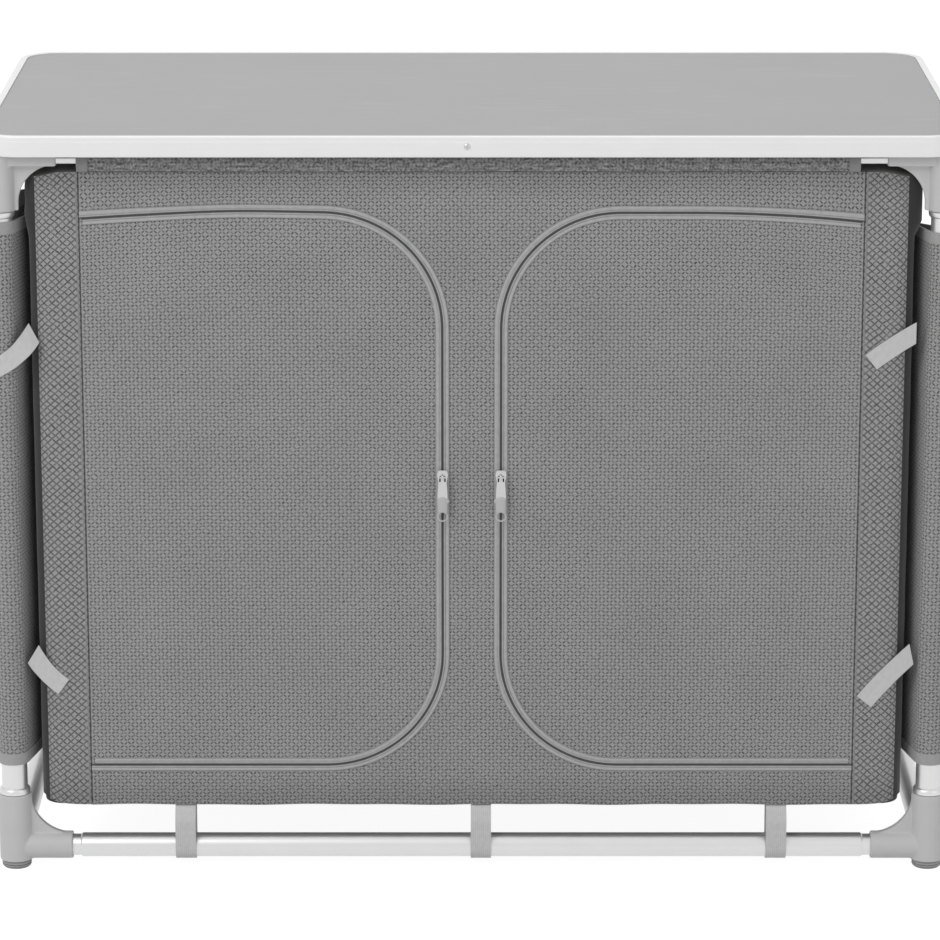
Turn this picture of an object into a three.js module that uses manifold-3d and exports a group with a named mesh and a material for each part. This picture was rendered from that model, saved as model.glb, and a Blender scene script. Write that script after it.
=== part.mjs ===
// Camping kitchen unit: a worktop on a frame of plugged tubes, with a fabric cupboard hung inside.
// Millimetres. X runs from left to right, Y from front to back, Z up, origin at the middle of the base.
import * as THREE from "three";
import { mergeVertices } from "three/addons/utils/BufferGeometryUtils.js";
import Module from "manifold-3d";

const wasm = await Module();
wasm.setup();

// Clearances, overruns and facet counts
const seatGap = 0.3; // between two pieces that rest on each other
const cutOverrun = 2; // how far a cutting shape runs past the face that it cuts
const roundSteps = 16; // facets round a tube
const arcSteps = 4; // half of the facets on one arc
const wrapSteps = 7; // the same on the fabric round a leg
const edgeSteps = 2; // facets on a rounded edge

// Worktop
const topWidth = 1030;
const topDepth = 525;
const topHeight = 22;
const topCornerRadius = 44;
const unitHeight = 810;
const trimWall = 2;
const trimLip = 6;
const trimLipThickness = 2.4;
const trimEdgeRadius = 1.2;
const laminateThickness = 1;

// Legs
const legRadius = 14;
const legWall = 1.5;
const legInsetX = 20; // from the worktop's end to the leg's axis
const legInsetY = 26; // from the worktop's edge to the leg's axis
const legEngagement = 45; // how far the leg goes up into its bracket
const legFootDepth = 44; // how far the leg goes down into its corner
const beadHeight = 7.2;
const beadStand = 2.8;

// Moulded brackets under the worktop
const bossWall = 3.7;
const bossHeight = 60.5;
const armLength = 62;
const armWidth = 26;
const armHeight = 11.7;
const armCornerRadius = 3;
const armInnerChamfer = 6;
const railPocketDepth = 20;
const webThickness = 8;
const webOverlap = 1; // how far a web's curve starts inside the boss
const webSetback = 8; // from an arm's end to its web

// Rails under the worktop and the sleeves that hang on them
const topRailWidth = 20;
const topRailHeight = 8;
const topRailCornerRadius = 2.5;
const topRailWall = 1.2;
const topRailDrop = 6; // from the worktop's underside to the rail's axis
const sleeveFabric = 1.2;
const sleeveSetback = 23; // from the bracket's arm to the sleeve's end
const skirtDrop = 20; // from the worktop's underside to the skirt's lower edge

// Moulded three-way corners at the base
const cornerTop = 84;
const cornerBase = 9;
const railSocketLength = 62;
const railSocketWall = 3;
const railPlugDepth = 30;
const footBoreDepth = 21;

// Base rails
const baseRailRadius = 13;
const baseRailHeight = 24; // the rail's axis above the ground
const baseRailWall = 1.6;
const neckDrop = 1.4;
const neckLength = 8;
const neckTaper = 3;

// Levelling feet
const footRadius = 16.2;
const footBottomRadius = 12.5;
const footChamfer = 2.5;
const gripHeight = 5;
const gripTeeth = 18;
const gripToothDepth = 0.9;
const studRadius = 4;
const studLength = 18;

// Fabric cupboard
const cupboardBottom = 72;
const cupboardDrop = 19; // from the worktop's underside to the cupboard's top
const cupboardSetback = 19.5; // from the worktop's edge to the cupboard's front
const legSpace = 29; // from the leg's axis to the cupboard's side
const cupboardCornerRadius = 24;
const wallFabric = 2.4;
const sideStrip = 55; // from the cupboard's side to the seam that the door folds on
const boardThickness = 4;
const shelfSetback = 8; // from the door's inner face to the shelf's front edge
const shelfLevels = 3;

// Doors and their zips
const zipFromMiddle = 31;
const zipDrop = 43; // from the cupboard's top to the zip
const zipRise = 46; // from the cupboard's bottom to the zip
const zipCornerRadius = 125;
const zipSplit = 0.2; // half of the slit between a zip's two rows of teeth
const tapeWidth = 7.5;
const tapeThickness = 1;
const tapeSetback = 0.4; // from the teeth's edge to the tape's
const teethWidth = 2;
const teethThickness = 2;
const tapeStart = 4.6; // from the seam to the zip's first tooth

// Zip sliders and pullers
const sliderHeight = 14.5;
const sliderTopWidth = 12;
const sliderBottomWidth = 9;
const sliderThickness = 3.4;
const sliderDrop = 285; // from the zip's top to its slider
const sliderLip = 2;
const bailWidth = 3;
const bailHoleHeight = 3.2;
const bailHoleDepth = 2.6;
const bailBar = 1.2;
const pullerBar = 1.5;
const pullerEyeWidth = 4;
const pullerEyeDrop = 3.4;
const pullerWidth = 7.2;
const pullerStemWidth = 9.4;
const pullerStemEnd = 26;
const gripWidth = 10.4;
const gripThickness = 3.4;
const gripLength = 15;
const pullerRingRadius = 5.2;
const pullerRingHole = 3.4;

// Fabric wraps round the legs
const wrapRise = 36; // from the base corner's top to the wrap
const wrapDrop = 8; // from the leg's upper bead to the wrap
const wrapFabric = 1.4;
const wrapTipBack = 58; // from the leg's axis back to the tip of the wrap
const wrapTipRadius = 1.3; // of the fold inside the tip
const wrapTab = 28;

// Webbing straps and ties
const strapWidth = 25;
const strapThickness = 1.4;
const strapFromSeam = 91; // from the door's seam to the outer strap's middle
const strapShoulder = 12; // height of the slope between the loop and the cupboard's floor
const tieWidth = 20;
const tieThickness = 1.4;
const tieDrop = 172; // from the cupboard's top to the upper ties
const tieRise = 171; // from the cupboard's bottom to the lower ties
// Each tie's slope at its root, how much steeper its end is, its length, and how far its root
// lies beyond the cupboard's side
const degree = Math.PI / 180;
const tieShapes = {
  upper_left: { lean: 58 * degree, bend: -36 * degree, length: 62, start: -5 },
  upper_right: { lean: 30 * degree, bend: 8 * degree, length: 56.5, start: 2 },
  lower_left: { lean: 62 * degree, bend: -26 * degree, length: 49, start: 4.5 },
  lower_right: { lean: 43 * degree, bend: 8 * degree, length: 73, start: 6 },
};

// Places worked out from the sizes
const legX = topWidth / 2 - legInsetX;
const legY = topDepth / 2 - legInsetY;
const underside = unitHeight - topHeight;
const bossRadius = legRadius + seatGap + bossWall;
const bossBottom = underside - bossHeight;
const bracketTop = underside - seatGap;
const armBottom = bracketTop - armHeight;
const armCurve = armLength - bossRadius + webOverlap;
const topRailLevel = underside - topRailDrop;
const neckRadius = baseRailRadius - neckDrop;
const railSocketRadius = neckRadius + seatGap + railSocketWall;
const cornerCurve = railSocketLength - bossRadius + webOverlap;
const sleeveHalfLength = legX - armLength - sleeveSetback;
const cupboardHalfWidth = legX - legSpace;
const cupboardHalfDepth = topDepth / 2 - cupboardSetback;
const cupboardFront = -cupboardHalfDepth;
const cupboardTop = underside - cupboardDrop;
const seamHalfSpan = cupboardHalfWidth - sideStrip;
const zipTop = cupboardTop - zipDrop;
const zipBottom = cupboardBottom + zipRise;
const innerHalfWidth = cupboardHalfWidth - wallFabric - seatGap;
const innerHalfDepth = cupboardHalfDepth - wallFabric - seatGap;
const floorTop = cupboardBottom + boardThickness;
const ceiling = cupboardTop - wallFabric;
const wrapBottom = cornerTop + wrapRise;
const wrapTop = bossBottom - seatGap - beadHeight - wrapDrop;

const lightPlastic = { color: 0xb4b4b4, roughness: 0.5, metalness: 0 };
const paleMetal = { color: 0xe2e2e2, roughness: 0.35, metalness: 0.8 };
const trimMetal = { color: 0xdedede, roughness: 0.4, metalness: 0.4 };
const laminate = { color: 0xaeaeae, roughness: 0.55, metalness: 0 };
const fibreboard = { color: 0x9c8a70, roughness: 0.9, metalness: 0 };
const fabric = { color: 0x7d7d7d, roughness: 0.95, metalness: 0 };
const lattice = { color: 0x8a8a8a, roughness: 0.95, metalness: 0 };
const webbing = { color: 0xacacac, roughness: 0.9, metalness: 0 };
const tape = { color: 0x8f8f8f, roughness: 0.85, metalness: 0 };
const castMetal = { color: 0xc4c4c4, roughness: 0.3, metalness: 0.9 };
const darkRubber = { color: 0x6a6a6a, roughness: 0.8, metalness: 0 };

const unit = new THREE.Group();

function solidFrom(geometry) {
  const bare = geometry.index ? geometry.toNonIndexed() : geometry.clone();
  bare.deleteAttribute("normal");
  bare.deleteAttribute("uv");
  const merged = mergeVertices(bare);
  return new wasm.Manifold(
    new wasm.Mesh({
      numProp: 3,
      vertProperties: merged.attributes.position.array,
      triVerts: new Uint32Array(merged.index.array),
    }),
  );
}

function geometryFrom(solid) {
  const mesh = solid.getMesh();
  const geometry = new THREE.BufferGeometry();
  geometry.setAttribute("position", new THREE.BufferAttribute(mesh.vertProperties, mesh.numProp));
  geometry.setIndex(new THREE.BufferAttribute(mesh.triVerts, 1));
  return geometry.toNonIndexed();
}

function join(first, ...others) {
  return geometryFrom(others.reduce((solid, other) => solid.add(solidFrom(other)), solidFrom(first)));
}

function cut(body, ...tools) {
  return geometryFrom(tools.reduce((solid, tool) => solid.subtract(solidFrom(tool)), solidFrom(body)));
}

function common(first, second) {
  return geometryFrom(solidFrom(first).intersect(solidFrom(second)));
}

function place(name, geometry, finish, group = unit) {
  geometry.computeVertexNormals();
  const mesh = new THREE.Mesh(geometry, new THREE.MeshStandardMaterial(finish));
  mesh.name = name;
  group.add(mesh);
  return mesh;
}

// A shape drawn in plan, rising from one height to another
function plate(shape, bottom, top, curveSegments = arcSteps) {
  const options = { depth: top - bottom, bevelEnabled: false, curveSegments };
  return new THREE.ExtrudeGeometry(shape, options).translate(0, 0, bottom);
}

// A shape drawn as seen from the front, from its front face at y back by its thickness
function frontPanel(shape, y, thickness) {
  return plate(shape, 0, thickness).rotateX(Math.PI / 2).translate(0, y + thickness, 0);
}

// A shape drawn as seen from the right, with its X along the unit's Y, running from x to x + length
function sideProfile(shape, x, length) {
  const turn = new THREE.Matrix4().makeBasis(
    new THREE.Vector3(0, 1, 0),
    new THREE.Vector3(0, 0, 1),
    new THREE.Vector3(1, 0, 0),
  );
  return plate(shape, x, x + length).applyMatrix4(turn);
}

// A profile of [radius, height] pairs turned about the Z axis, its outer side written upwards
function turned(profile) {
  const points = profile.map(([radius, height]) => new THREE.Vector2(radius, height));
  return new THREE.LatheGeometry(points, roundSteps).rotateX(Math.PI / 2);
}

function turnedRing(outerProfile, bore) {
  const bottom = outerProfile[0][1];
  const top = outerProfile[outerProfile.length - 1][1];
  return turned([...outerProfile, [bore, top], [bore, bottom], outerProfile[0]]);
}

function rod(radius, bottom, top) {
  return turned([[0, bottom], [radius, bottom], [radius, top], [0, top]]);
}

function alongX(geometry) {
  return geometry.rotateY(Math.PI / 2);
}

function alongY(geometry) {
  return geometry.rotateX(-Math.PI / 2);
}

function block(low, high) {
  const size = high.map((value, axis) => value - low[axis]);
  const middle = high.map((value, axis) => (value + low[axis]) / 2);
  return new THREE.BoxGeometry(...size).translate(...middle);
}

function rectangle(left, bottom, right, top) {
  const shape = new THREE.Shape();
  shape.moveTo(left, bottom).lineTo(right, bottom).lineTo(right, top).lineTo(left, top);
  return shape;
}

function outline(points) {
  return new THREE.Shape(points.map(([x, y]) => new THREE.Vector2(x, y)));
}

function roundedRectangle(halfWidth, halfDepth, radius, x = 0, y = 0) {
  const shape = new THREE.Shape();
  const quarter = Math.PI / 2;
  const corners = [[1, -1], [1, 1], [-1, 1], [-1, -1]];
  corners.forEach(([sx, sy], index) => {
    const centreX = x + sx * (halfWidth - radius);
    const centreY = y + sy * (halfDepth - radius);
    shape.absarc(centreX, centreY, radius, (index - 1) * quarter, index * quarter, false);
  });
  return shape;
}

// Worktop: a board in a channel-shaped edge trim, with a laminate sheet between the trim's upper lips
function makeWorktop() {
  const lipEdge = trimWall + trimLip;
  const outlineAt = (inset) =>
    roundedRectangle(topWidth / 2 - inset, topDepth / 2 - inset, topCornerRadius - inset);
  const bar = new THREE.ExtrudeGeometry(outlineAt(trimEdgeRadius), {
    depth: topHeight - 2 * trimEdgeRadius,
    bevelSize: trimEdgeRadius,
    bevelThickness: trimEdgeRadius,
    bevelSegments: edgeSteps,
    curveSegments: arcSteps,
  }).translate(0, 0, underside + trimEdgeRadius);
  const channelBottom = underside + trimLipThickness;
  const channelTop = unitHeight - trimLipThickness;
  const middle = plate(outlineAt(lipEdge), underside - cutOverrun, unitHeight + cutOverrun);
  const channel = plate(outlineAt(trimWall), channelBottom, channelTop);
  place("worktop_edge_trim", cut(bar, middle, channel), trimMetal);
  const boardBottom = channelBottom + seatGap;
  const boardTop = channelTop - seatGap;
  const board = plate(outlineAt(trimWall + seatGap), boardBottom, boardTop);
  place("worktop_board", board, fibreboard);
  const sheetBottom = boardTop + seatGap;
  const sheet = plate(outlineAt(lipEdge + seatGap), sheetBottom, sheetBottom + laminateThickness);
  place("worktop_laminate", sheet, laminate);
}

// A web with a hollow curve, drawn in X and Z: it fills the corner between an upright and an arm
function hollowWeb(length, armLevel, curve, side) {
  const centreLevel = armLevel + side * curve;
  const shape = new THREE.Shape();
  shape.moveTo(0, armLevel - side * webOverlap);
  shape.lineTo(length, armLevel - side * webOverlap);
  shape.lineTo(length, armLevel);
  const from = -side * (Math.PI / 2);
  shape.absarc(length, centreLevel, curve, from, Math.PI, side > 0);
  shape.lineTo(0, centreLevel);
  return frontPanel(shape, -webThickness / 2, webThickness);
}

// Plan of a bracket: two arms at right angles and a round corner over the leg
function bracketPlan() {
  const half = armWidth / 2;
  const shape = new THREE.Shape();
  const entry = Math.acos(half / bossRadius);
  shape.moveTo(bossRadius * Math.sin(entry), -half);
  shape.lineTo(armLength - armCornerRadius, -half);
  shape.lineTo(armLength, -half + armCornerRadius);
  shape.lineTo(armLength, half - armCornerRadius);
  shape.lineTo(armLength - armCornerRadius, half);
  shape.lineTo(half + armInnerChamfer, half);
  shape.lineTo(half, half + armInnerChamfer);
  shape.lineTo(half, armLength - armCornerRadius);
  shape.lineTo(half - armCornerRadius, armLength);
  shape.lineTo(-half + armCornerRadius, armLength);
  shape.lineTo(-half, armLength - armCornerRadius);
  const quarter = Math.PI / 2;
  shape.absarc(0, 0, bossRadius, 2 * quarter - entry, 3 * quarter + entry, false);
  return shape;
}

// Bracket under a worktop's corner: a boss for the leg and two arms with hollow-curved webs
function topBracket() {
  const boss = rod(bossRadius, bossBottom, armBottom + webOverlap);
  const arms = plate(bracketPlan(), armBottom, bracketTop);
  const webX = hollowWeb(armLength - webSetback, armBottom, armCurve - webSetback, -1);
  const webY = flipped(webX.clone().rotateZ(Math.PI / 2).scale(-1, 1, 1));
  const body = join(arms, boss, webX, webY);
  const legBore = rod(legRadius + seatGap, bossBottom - cutOverrun, bossBottom + legEngagement + seatGap);
  const pocket = sideProfile(
    topRailSection(seatGap),
    armLength - railPocketDepth - seatGap,
    railPocketDepth + seatGap + cutOverrun,
  );
  return cut(body, legBore, pocket);
}

// Turns each face of a mirrored geometry round, so that its faces point outwards again
function flipped(geometry) {
  const mirrored = geometry.index ? geometry.toNonIndexed() : geometry;
  const position = mirrored.attributes.position;
  for (let face = 0; face < position.count; face += 3) {
    const first = new THREE.Vector3().fromBufferAttribute(position, face);
    const second = new THREE.Vector3().fromBufferAttribute(position, face + 1);
    position.setXYZ(face, second.x, second.y, second.z);
    position.setXYZ(face + 1, first.x, first.y, first.z);
  }
  return mirrored;
}

function topRailSection(grown) {
  return roundedRectangle(
    topRailWidth / 2 + grown,
    topRailHeight / 2 + grown,
    topRailCornerRadius + grown,
    0,
    topRailLevel,
  );
}

// Three-way corner at the base: a socket for the leg, two for the rails and two hollow-curved webs
function baseCorner() {
  const boss = rod(bossRadius, cornerBase, cornerTop);
  const socketTop = baseRailHeight + railSocketRadius;
  const web = hollowWeb(railSocketLength, socketTop - webOverlap, cornerCurve, 1);
  const socket = alongX(rod(railSocketRadius, 0, railSocketLength)).translate(0, 0, baseRailHeight);
  const armX = join(socket, web);
  const armY = flipped(armX.clone().rotateZ(Math.PI / 2).scale(-1, 1, 1));
  const body = join(boss, armX, armY);
  const legSeat = cornerTop - legFootDepth - seatGap;
  const legBore = rod(legRadius + seatGap, legSeat, cornerTop + cutOverrun);
  const plugStart = railSocketLength - railPlugDepth - seatGap;
  const railBore = () => rod(neckRadius + seatGap, plugStart, railSocketLength + cutOverrun);
  const boreX = alongX(railBore()).translate(0, 0, baseRailHeight);
  const boreY = alongY(railBore()).translate(0, 0, baseRailHeight);
  const footBore = rod(studRadius + seatGap, cornerBase - cutOverrun, cornerBase + footBoreDepth);
  return cut(body, legBore, boreX, boreY, footBore);
}

// Leg: a tube with a bead against the bracket's boss and one against the base corner
function leg() {
  const bottom = cornerTop - legFootDepth;
  const top = bossBottom + legEngagement;
  const bead = legRadius + beadStand;
  const lowBead = cornerTop + seatGap;
  const highBead = bossBottom - seatGap;
  const shoulder = beadStand / 2;
  return turnedRing(
    [
      [legRadius, bottom],
      [legRadius, lowBead],
      [bead, lowBead],
      [bead, lowBead + beadHeight - shoulder],
      [legRadius, lowBead + beadHeight],
      [legRadius, highBead - beadHeight],
      [bead, highBead - beadHeight + shoulder],
      [bead, highBead],
      [legRadius, highBead],
      [legRadius, top],
    ],
    legRadius - legWall,
  );
}

// Levelling foot: a toothed disc with a threaded stud that turns in the base corner
function levellingFoot() {
  const discTop = cornerBase - seatGap;
  const gripBottom = discTop - gripHeight;
  const disc = turned([
    [0, 0],
    [footBottomRadius, 0],
    [footBottomRadius + footChamfer, footChamfer],
    [footRadius - gripToothDepth, gripBottom],
    [footRadius - gripToothDepth, discTop],
    [0, discTop],
  ]);
  const toothPoints = [];
  for (let step = 0; step < 2 * gripTeeth; step += 1) {
    const radius = step % 2 ? footRadius : footRadius - gripToothDepth;
    const angle = (step * Math.PI) / gripTeeth;
    toothPoints.push([radius * Math.cos(angle), radius * Math.sin(angle)]);
  }
  const grip = plate(outline(toothPoints), gripBottom, discTop);
  return join(disc, grip, rod(studRadius, footChamfer, cornerBase + studLength));
}

// Base rail: a tube whose ends are drawn in to a neck that plugs into the corner's socket
function baseRail(halfSpan) {
  const end = halfSpan - railSocketLength + railPlugDepth;
  const neckEnd = halfSpan - railSocketLength - neckLength;
  const bodyEnd = neckEnd - neckTaper;
  return turnedRing(
    [
      [neckRadius, -end],
      [neckRadius, -neckEnd],
      [baseRailRadius, -bodyEnd],
      [baseRailRadius, bodyEnd],
      [neckRadius, neckEnd],
      [neckRadius, end],
    ],
    neckRadius - baseRailWall,
  );
}

function topRail() {
  const halfLength = legX - armLength + railPocketDepth;
  const tube = sideProfile(topRailSection(0), -halfLength, 2 * halfLength);
  const bore = sideProfile(
    topRailSection(-topRailWall),
    -halfLength - cutOverrun,
    2 * (halfLength + cutOverrun),
  );
  return cut(tube, bore);
}

// Sleeve on an upper rail, with a skirt that laps over the cupboard's upper edge
function railSleeve() {
  const loop = sideProfile(
    topRailSection(seatGap + sleeveFabric),
    -sleeveHalfLength,
    2 * sleeveHalfLength,
  );
  const skirtBack = legY - cupboardHalfDepth - seatGap;
  const skirt = block(
    [-sleeveHalfLength, skirtBack - sleeveFabric, underside - skirtDrop],
    [sleeveHalfLength, skirtBack, topRailLevel],
  );
  const hollow = sideProfile(
    topRailSection(seatGap),
    -sleeveHalfLength - cutOverrun,
    2 * (sleeveHalfLength + cutOverrun),
  );
  return cut(join(loop, skirt), hollow);
}

function makeFrame() {
  const corners = { front_left: [-1, -1], front_right: [1, -1], rear_left: [-1, 1], rear_right: [1, 1] };
  for (const [corner, [sx, sy]] of Object.entries(corners)) {
    const station = new THREE.Group();
    station.position.set(sx * legX, sy * legY, 0);
    unit.add(station);
    const inwards = [place("top_bracket_" + corner, topBracket(), lightPlastic, station)];
    inwards.push(place("base_corner_" + corner, baseCorner(), lightPlastic, station));
    inwards.forEach((mesh) => mesh.scale.set(-sx, -sy, 1));
    place("leg_" + corner, leg(), paleMetal, station);
    place("levelling_foot_" + corner, levellingFoot(), darkRubber, station);
    place("leg_wrap_" + corner, legWrap(), fabric, station).scale.set(-sx, -sy, 1);
  }
  for (const [side, sign] of [["front", -1], ["rear", 1]]) {
    const rail = alongX(baseRail(legX)).translate(0, sign * legY, baseRailHeight);
    place("base_rail_" + side, rail, paleMetal);
    place("top_rail_" + side, topRail().translate(0, sign * legY, 0), paleMetal);
    const sleeve = place("rail_sleeve_" + side, railSleeve(), fabric);
    sleeve.position.y = sign * legY;
    sleeve.scale.y = -sign;
  }
  for (const [side, sign] of [["left", -1], ["right", 1]]) {
    const rail = alongY(baseRail(legY)).translate(sign * legX, 0, baseRailHeight);
    place("base_rail_" + side, rail, paleMetal);
  }
}

// Plan outline of fabric pulled round the leg and closed to a fold beside the cupboard
function wrapOutline(legCurve, tipCurve) {
  const tipX = legX - cupboardHalfWidth - seatGap - wrapTipRadius - wrapFabric;
  const span = Math.hypot(tipX, wrapTipBack);
  const heading = Math.atan2(wrapTipBack, tipX);
  const spread = Math.acos((legCurve - tipCurve) / span);
  const shape = new THREE.Shape();
  shape.absarc(0, 0, legCurve, heading + spread, heading - spread + 2 * Math.PI, false);
  shape.absarc(tipX, wrapTipBack, tipCurve, heading - spread, heading + spread, false);
  return shape;
}

function legWrap() {
  const inside = legRadius + seatGap;
  const outer = wrapOutline(inside + wrapFabric, wrapTipRadius + wrapFabric);
  const inner = wrapOutline(inside, wrapTipRadius);
  const skin = plate(outer, wrapBottom, wrapTop, wrapSteps);
  const hollow = plate(inner, wrapBottom - cutOverrun, wrapTop + cutOverrun, wrapSteps);
  const tabOuter = legX - cupboardHalfWidth - seatGap;
  const tab = block(
    [tabOuter - 2 * wrapFabric, wrapTipBack, wrapBottom],
    [tabOuter, wrapTipBack + wrapTab, wrapTop],
  );
  return cut(join(skin, tab), hollow);
}

// Points of a door's edge from the seam along the top, down beside the middle and back to the seam
function doorEdge(grown, seam) {
  const path = new THREE.Path();
  const curve = zipCornerRadius + grown;
  const inner = -zipFromMiddle + grown;
  path.moveTo(seam, zipTop + grown);
  path.lineTo(inner - curve, zipTop + grown);
  path.absarc(inner - curve, zipTop + grown - curve, curve, Math.PI / 2, 0, true);
  path.absarc(inner - curve, zipBottom - grown + curve, curve, 0, -Math.PI / 2, true);
  path.lineTo(seam, zipBottom - grown);
  return path.getPoints(arcSteps);
}

function edgeBand(outer, inner, seam, y, thickness) {
  const shape = new THREE.Shape([...doorEdge(outer, seam), ...doorEdge(inner, seam).reverse()]);
  return frontPanel(shape, y, thickness);
}

// One side of a zip: its tape lies on the fabric and its row of teeth stands proud along the slit
function zipHalf(sign) {
  const seam = -seamHalfSpan + tapeStart;
  const face = cupboardFront - seatGap;
  const bite = tapeThickness / 2;
  const edgeAt = (distance) => sign * (zipSplit + distance);
  const flat = edgeBand(edgeAt(tapeSetback), edgeAt(tapeWidth), seam, face - tapeThickness, tapeThickness);
  const teethFace = face - teethThickness;
  const teethStart = seam + tapeSetback;
  const teeth = edgeBand(edgeAt(0), edgeAt(teethWidth), teethStart, teethFace, teethThickness - bite);
  return join(flat, teeth);
}

// Zip slider: a waisted plate whose two lips run beside the teeth, with a bail for the puller
function zipSlider() {
  const half = sliderHeight / 2;
  const plateBack = -teethThickness - 2 * seatGap;
  const lipBack = -tapeThickness - 2 * seatGap;
  const front = plateBack - sliderThickness;
  const face = outline([
    [-sliderBottomWidth / 2, -half],
    [sliderBottomWidth / 2, -half],
    [sliderTopWidth / 2, half / 2],
    [sliderTopWidth / 2, half],
    [-sliderTopWidth / 2, half],
    [-sliderTopWidth / 2, half / 2],
  ]);
  const plateBody = frontPanel(face, front, sliderThickness);
  const lipIn = zipSplit + teethWidth + seatGap;
  const lips = [-1, 1].map((side) =>
    block(
      [side > 0 ? lipIn : -lipIn - sliderLip, plateBack - seatGap, -half],
      [side > 0 ? lipIn + sliderLip : -lipIn, lipBack, half],
    ),
  );
  const holeHalf = bailHoleHeight / 2;
  const bailOuter = new THREE.Shape();
  const bailFront = front - bailHoleDepth - bailBar;
  bailOuter.moveTo(front + bailBar, -holeHalf - bailBar);
  bailOuter.lineTo(front + bailBar, holeHalf + bailBar);
  bailOuter.lineTo(bailFront + bailBar, holeHalf + bailBar);
  bailOuter.lineTo(bailFront, holeHalf);
  bailOuter.lineTo(bailFront, -holeHalf);
  bailOuter.lineTo(bailFront + bailBar, -holeHalf - bailBar);
  const bail = sideProfile(bailOuter, -bailWidth / 2, bailWidth);
  const hole = block(
    [-bailWidth / 2 - cutOverrun, front - bailHoleDepth, -holeHalf],
    [bailWidth / 2 + cutOverrun, front, holeHalf],
  );
  return cut(join(plateBody, ...lips, bail), hole);
}

// Zip puller: an eye round the bail, a narrow stem, a moulded grip and a ring at its end
function zipPuller() {
  const eyeHalf = pullerEyeWidth / 2;
  const half = pullerBar / 2;
  const eyeBottom = -pullerEyeDrop - pullerBar;
  const ringCentre = -pullerStemEnd - gripLength - pullerRingRadius / 2;
  const eye = rectangle(-pullerWidth / 2, eyeBottom, pullerWidth / 2, half);
  eye.holes.push(rectangle(-eyeHalf, -pullerEyeDrop, eyeHalf, -half));
  const stem = rectangle(-pullerStemWidth / 2, -pullerStemEnd - half, pullerStemWidth / 2, eyeBottom + half);
  const ring = new THREE.Shape();
  ring.absarc(0, ringCentre, pullerRingRadius, 0, 2 * Math.PI, false);
  const grip = roundedRectangle(
    gripWidth / 2,
    gripLength / 2,
    gripThickness / 2,
    0,
    -pullerStemEnd - gripLength / 2,
  );
  const ringHole = new THREE.Shape();
  ringHole.absarc(0, ringCentre - pullerRingHole / 2, pullerRingHole, 0, 2 * Math.PI, false);
  const body = join(
    frontPanel(eye, -half, pullerBar),
    frontPanel(stem, -half, pullerBar),
    frontPanel(ring, -half, pullerBar),
    frontPanel(grip, -gripThickness / 2, gripThickness),
  );
  return cut(body, frontPanel(ringHole, -gripThickness, 2 * gripThickness));
}

// Side of the cupboard: a wall that turns round both upright corners as far as the seams
function cupboardSide() {
  const quarter = Math.PI / 2;
  const shape = new THREE.Shape();
  const turn = (depth, radius, from, to, clockwise) => {
    const centreX = cupboardHalfWidth - cupboardCornerRadius;
    const centreY = depth * (cupboardHalfDepth - cupboardCornerRadius);
    shape.absarc(centreX, centreY, radius, from, to, clockwise);
  };
  const innerRadius = cupboardCornerRadius - wallFabric;
  shape.moveTo(seamHalfSpan + seatGap, -cupboardHalfDepth);
  shape.lineTo(cupboardHalfWidth - cupboardCornerRadius, -cupboardHalfDepth);
  turn(-1, cupboardCornerRadius, -quarter, 0, false);
  turn(1, cupboardCornerRadius, 0, quarter, false);
  shape.lineTo(seamHalfSpan + seatGap, cupboardHalfDepth);
  shape.lineTo(seamHalfSpan + seatGap, cupboardHalfDepth - wallFabric);
  turn(1, innerRadius, quarter, 0, true);
  turn(-1, innerRadius, 0, -quarter, true);
  shape.lineTo(seamHalfSpan + seatGap, -cupboardHalfDepth + wallFabric);
  return plate(shape, cupboardBottom, cupboardTop);
}

// Front of the cupboard: bands above and below the doors and a column between them
function cupboardFrontPanel() {
  const whole = rectangle(-seamHalfSpan, cupboardBottom, seamHalfSpan, cupboardTop);
  const body = frontPanel(whole, cupboardFront, wallFabric);
  const doorway = new THREE.Shape(doorEdge(zipSplit, -seamHalfSpan - cutOverrun));
  const leftCut = frontPanel(doorway, cupboardFront - cutOverrun, wallFabric + 2 * cutOverrun);
  const rightCut = flipped(leftCut.clone().scale(-1, 1, 1));
  return cut(body, leftCut, rightCut);
}

function makeCupboard() {
  place("cupboard_front", cupboardFrontPanel(), fabric);
  const back = rectangle(-seamHalfSpan, cupboardBottom, seamHalfSpan, cupboardTop);
  place("cupboard_back", frontPanel(back, cupboardHalfDepth - wallFabric, wallFabric), fabric);
  const inside = roundedRectangle(innerHalfWidth, innerHalfDepth, cupboardCornerRadius - wallFabric);
  place("cupboard_top", plate(inside, ceiling, cupboardTop), fabric);
  place("cupboard_floor", plate(inside, cupboardBottom, floorTop), fabric);
  const divider = block(
    [-boardThickness / 2, -innerHalfDepth, floorTop + seatGap],
    [boardThickness / 2, innerHalfDepth, ceiling - seatGap],
  );
  place("centre_divider", divider, fabric);
  const rise = (ceiling - floorTop) / shelfLevels;
  for (const [side, sign] of [["left", -1], ["right", 1]]) {
    place("cupboard_side_" + side, cupboardSide(), lattice).scale.x = sign;
    for (let level = 1; level < shelfLevels; level += 1) {
      const shelfTop = floorTop + level * rise;
      const bay = block(
        [boardThickness / 2 + seatGap, cupboardFront + wallFabric + shelfSetback, shelfTop - boardThickness],
        [cupboardHalfWidth, cupboardHalfDepth, shelfTop],
      );
      const shelf = common(plate(inside, cupboardBottom, cupboardTop), bay);
      place("shelf_" + side + "_" + level, shelf, fabric).scale.x = sign;
    }
    makeDoor(side, sign);
  }
}

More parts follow.
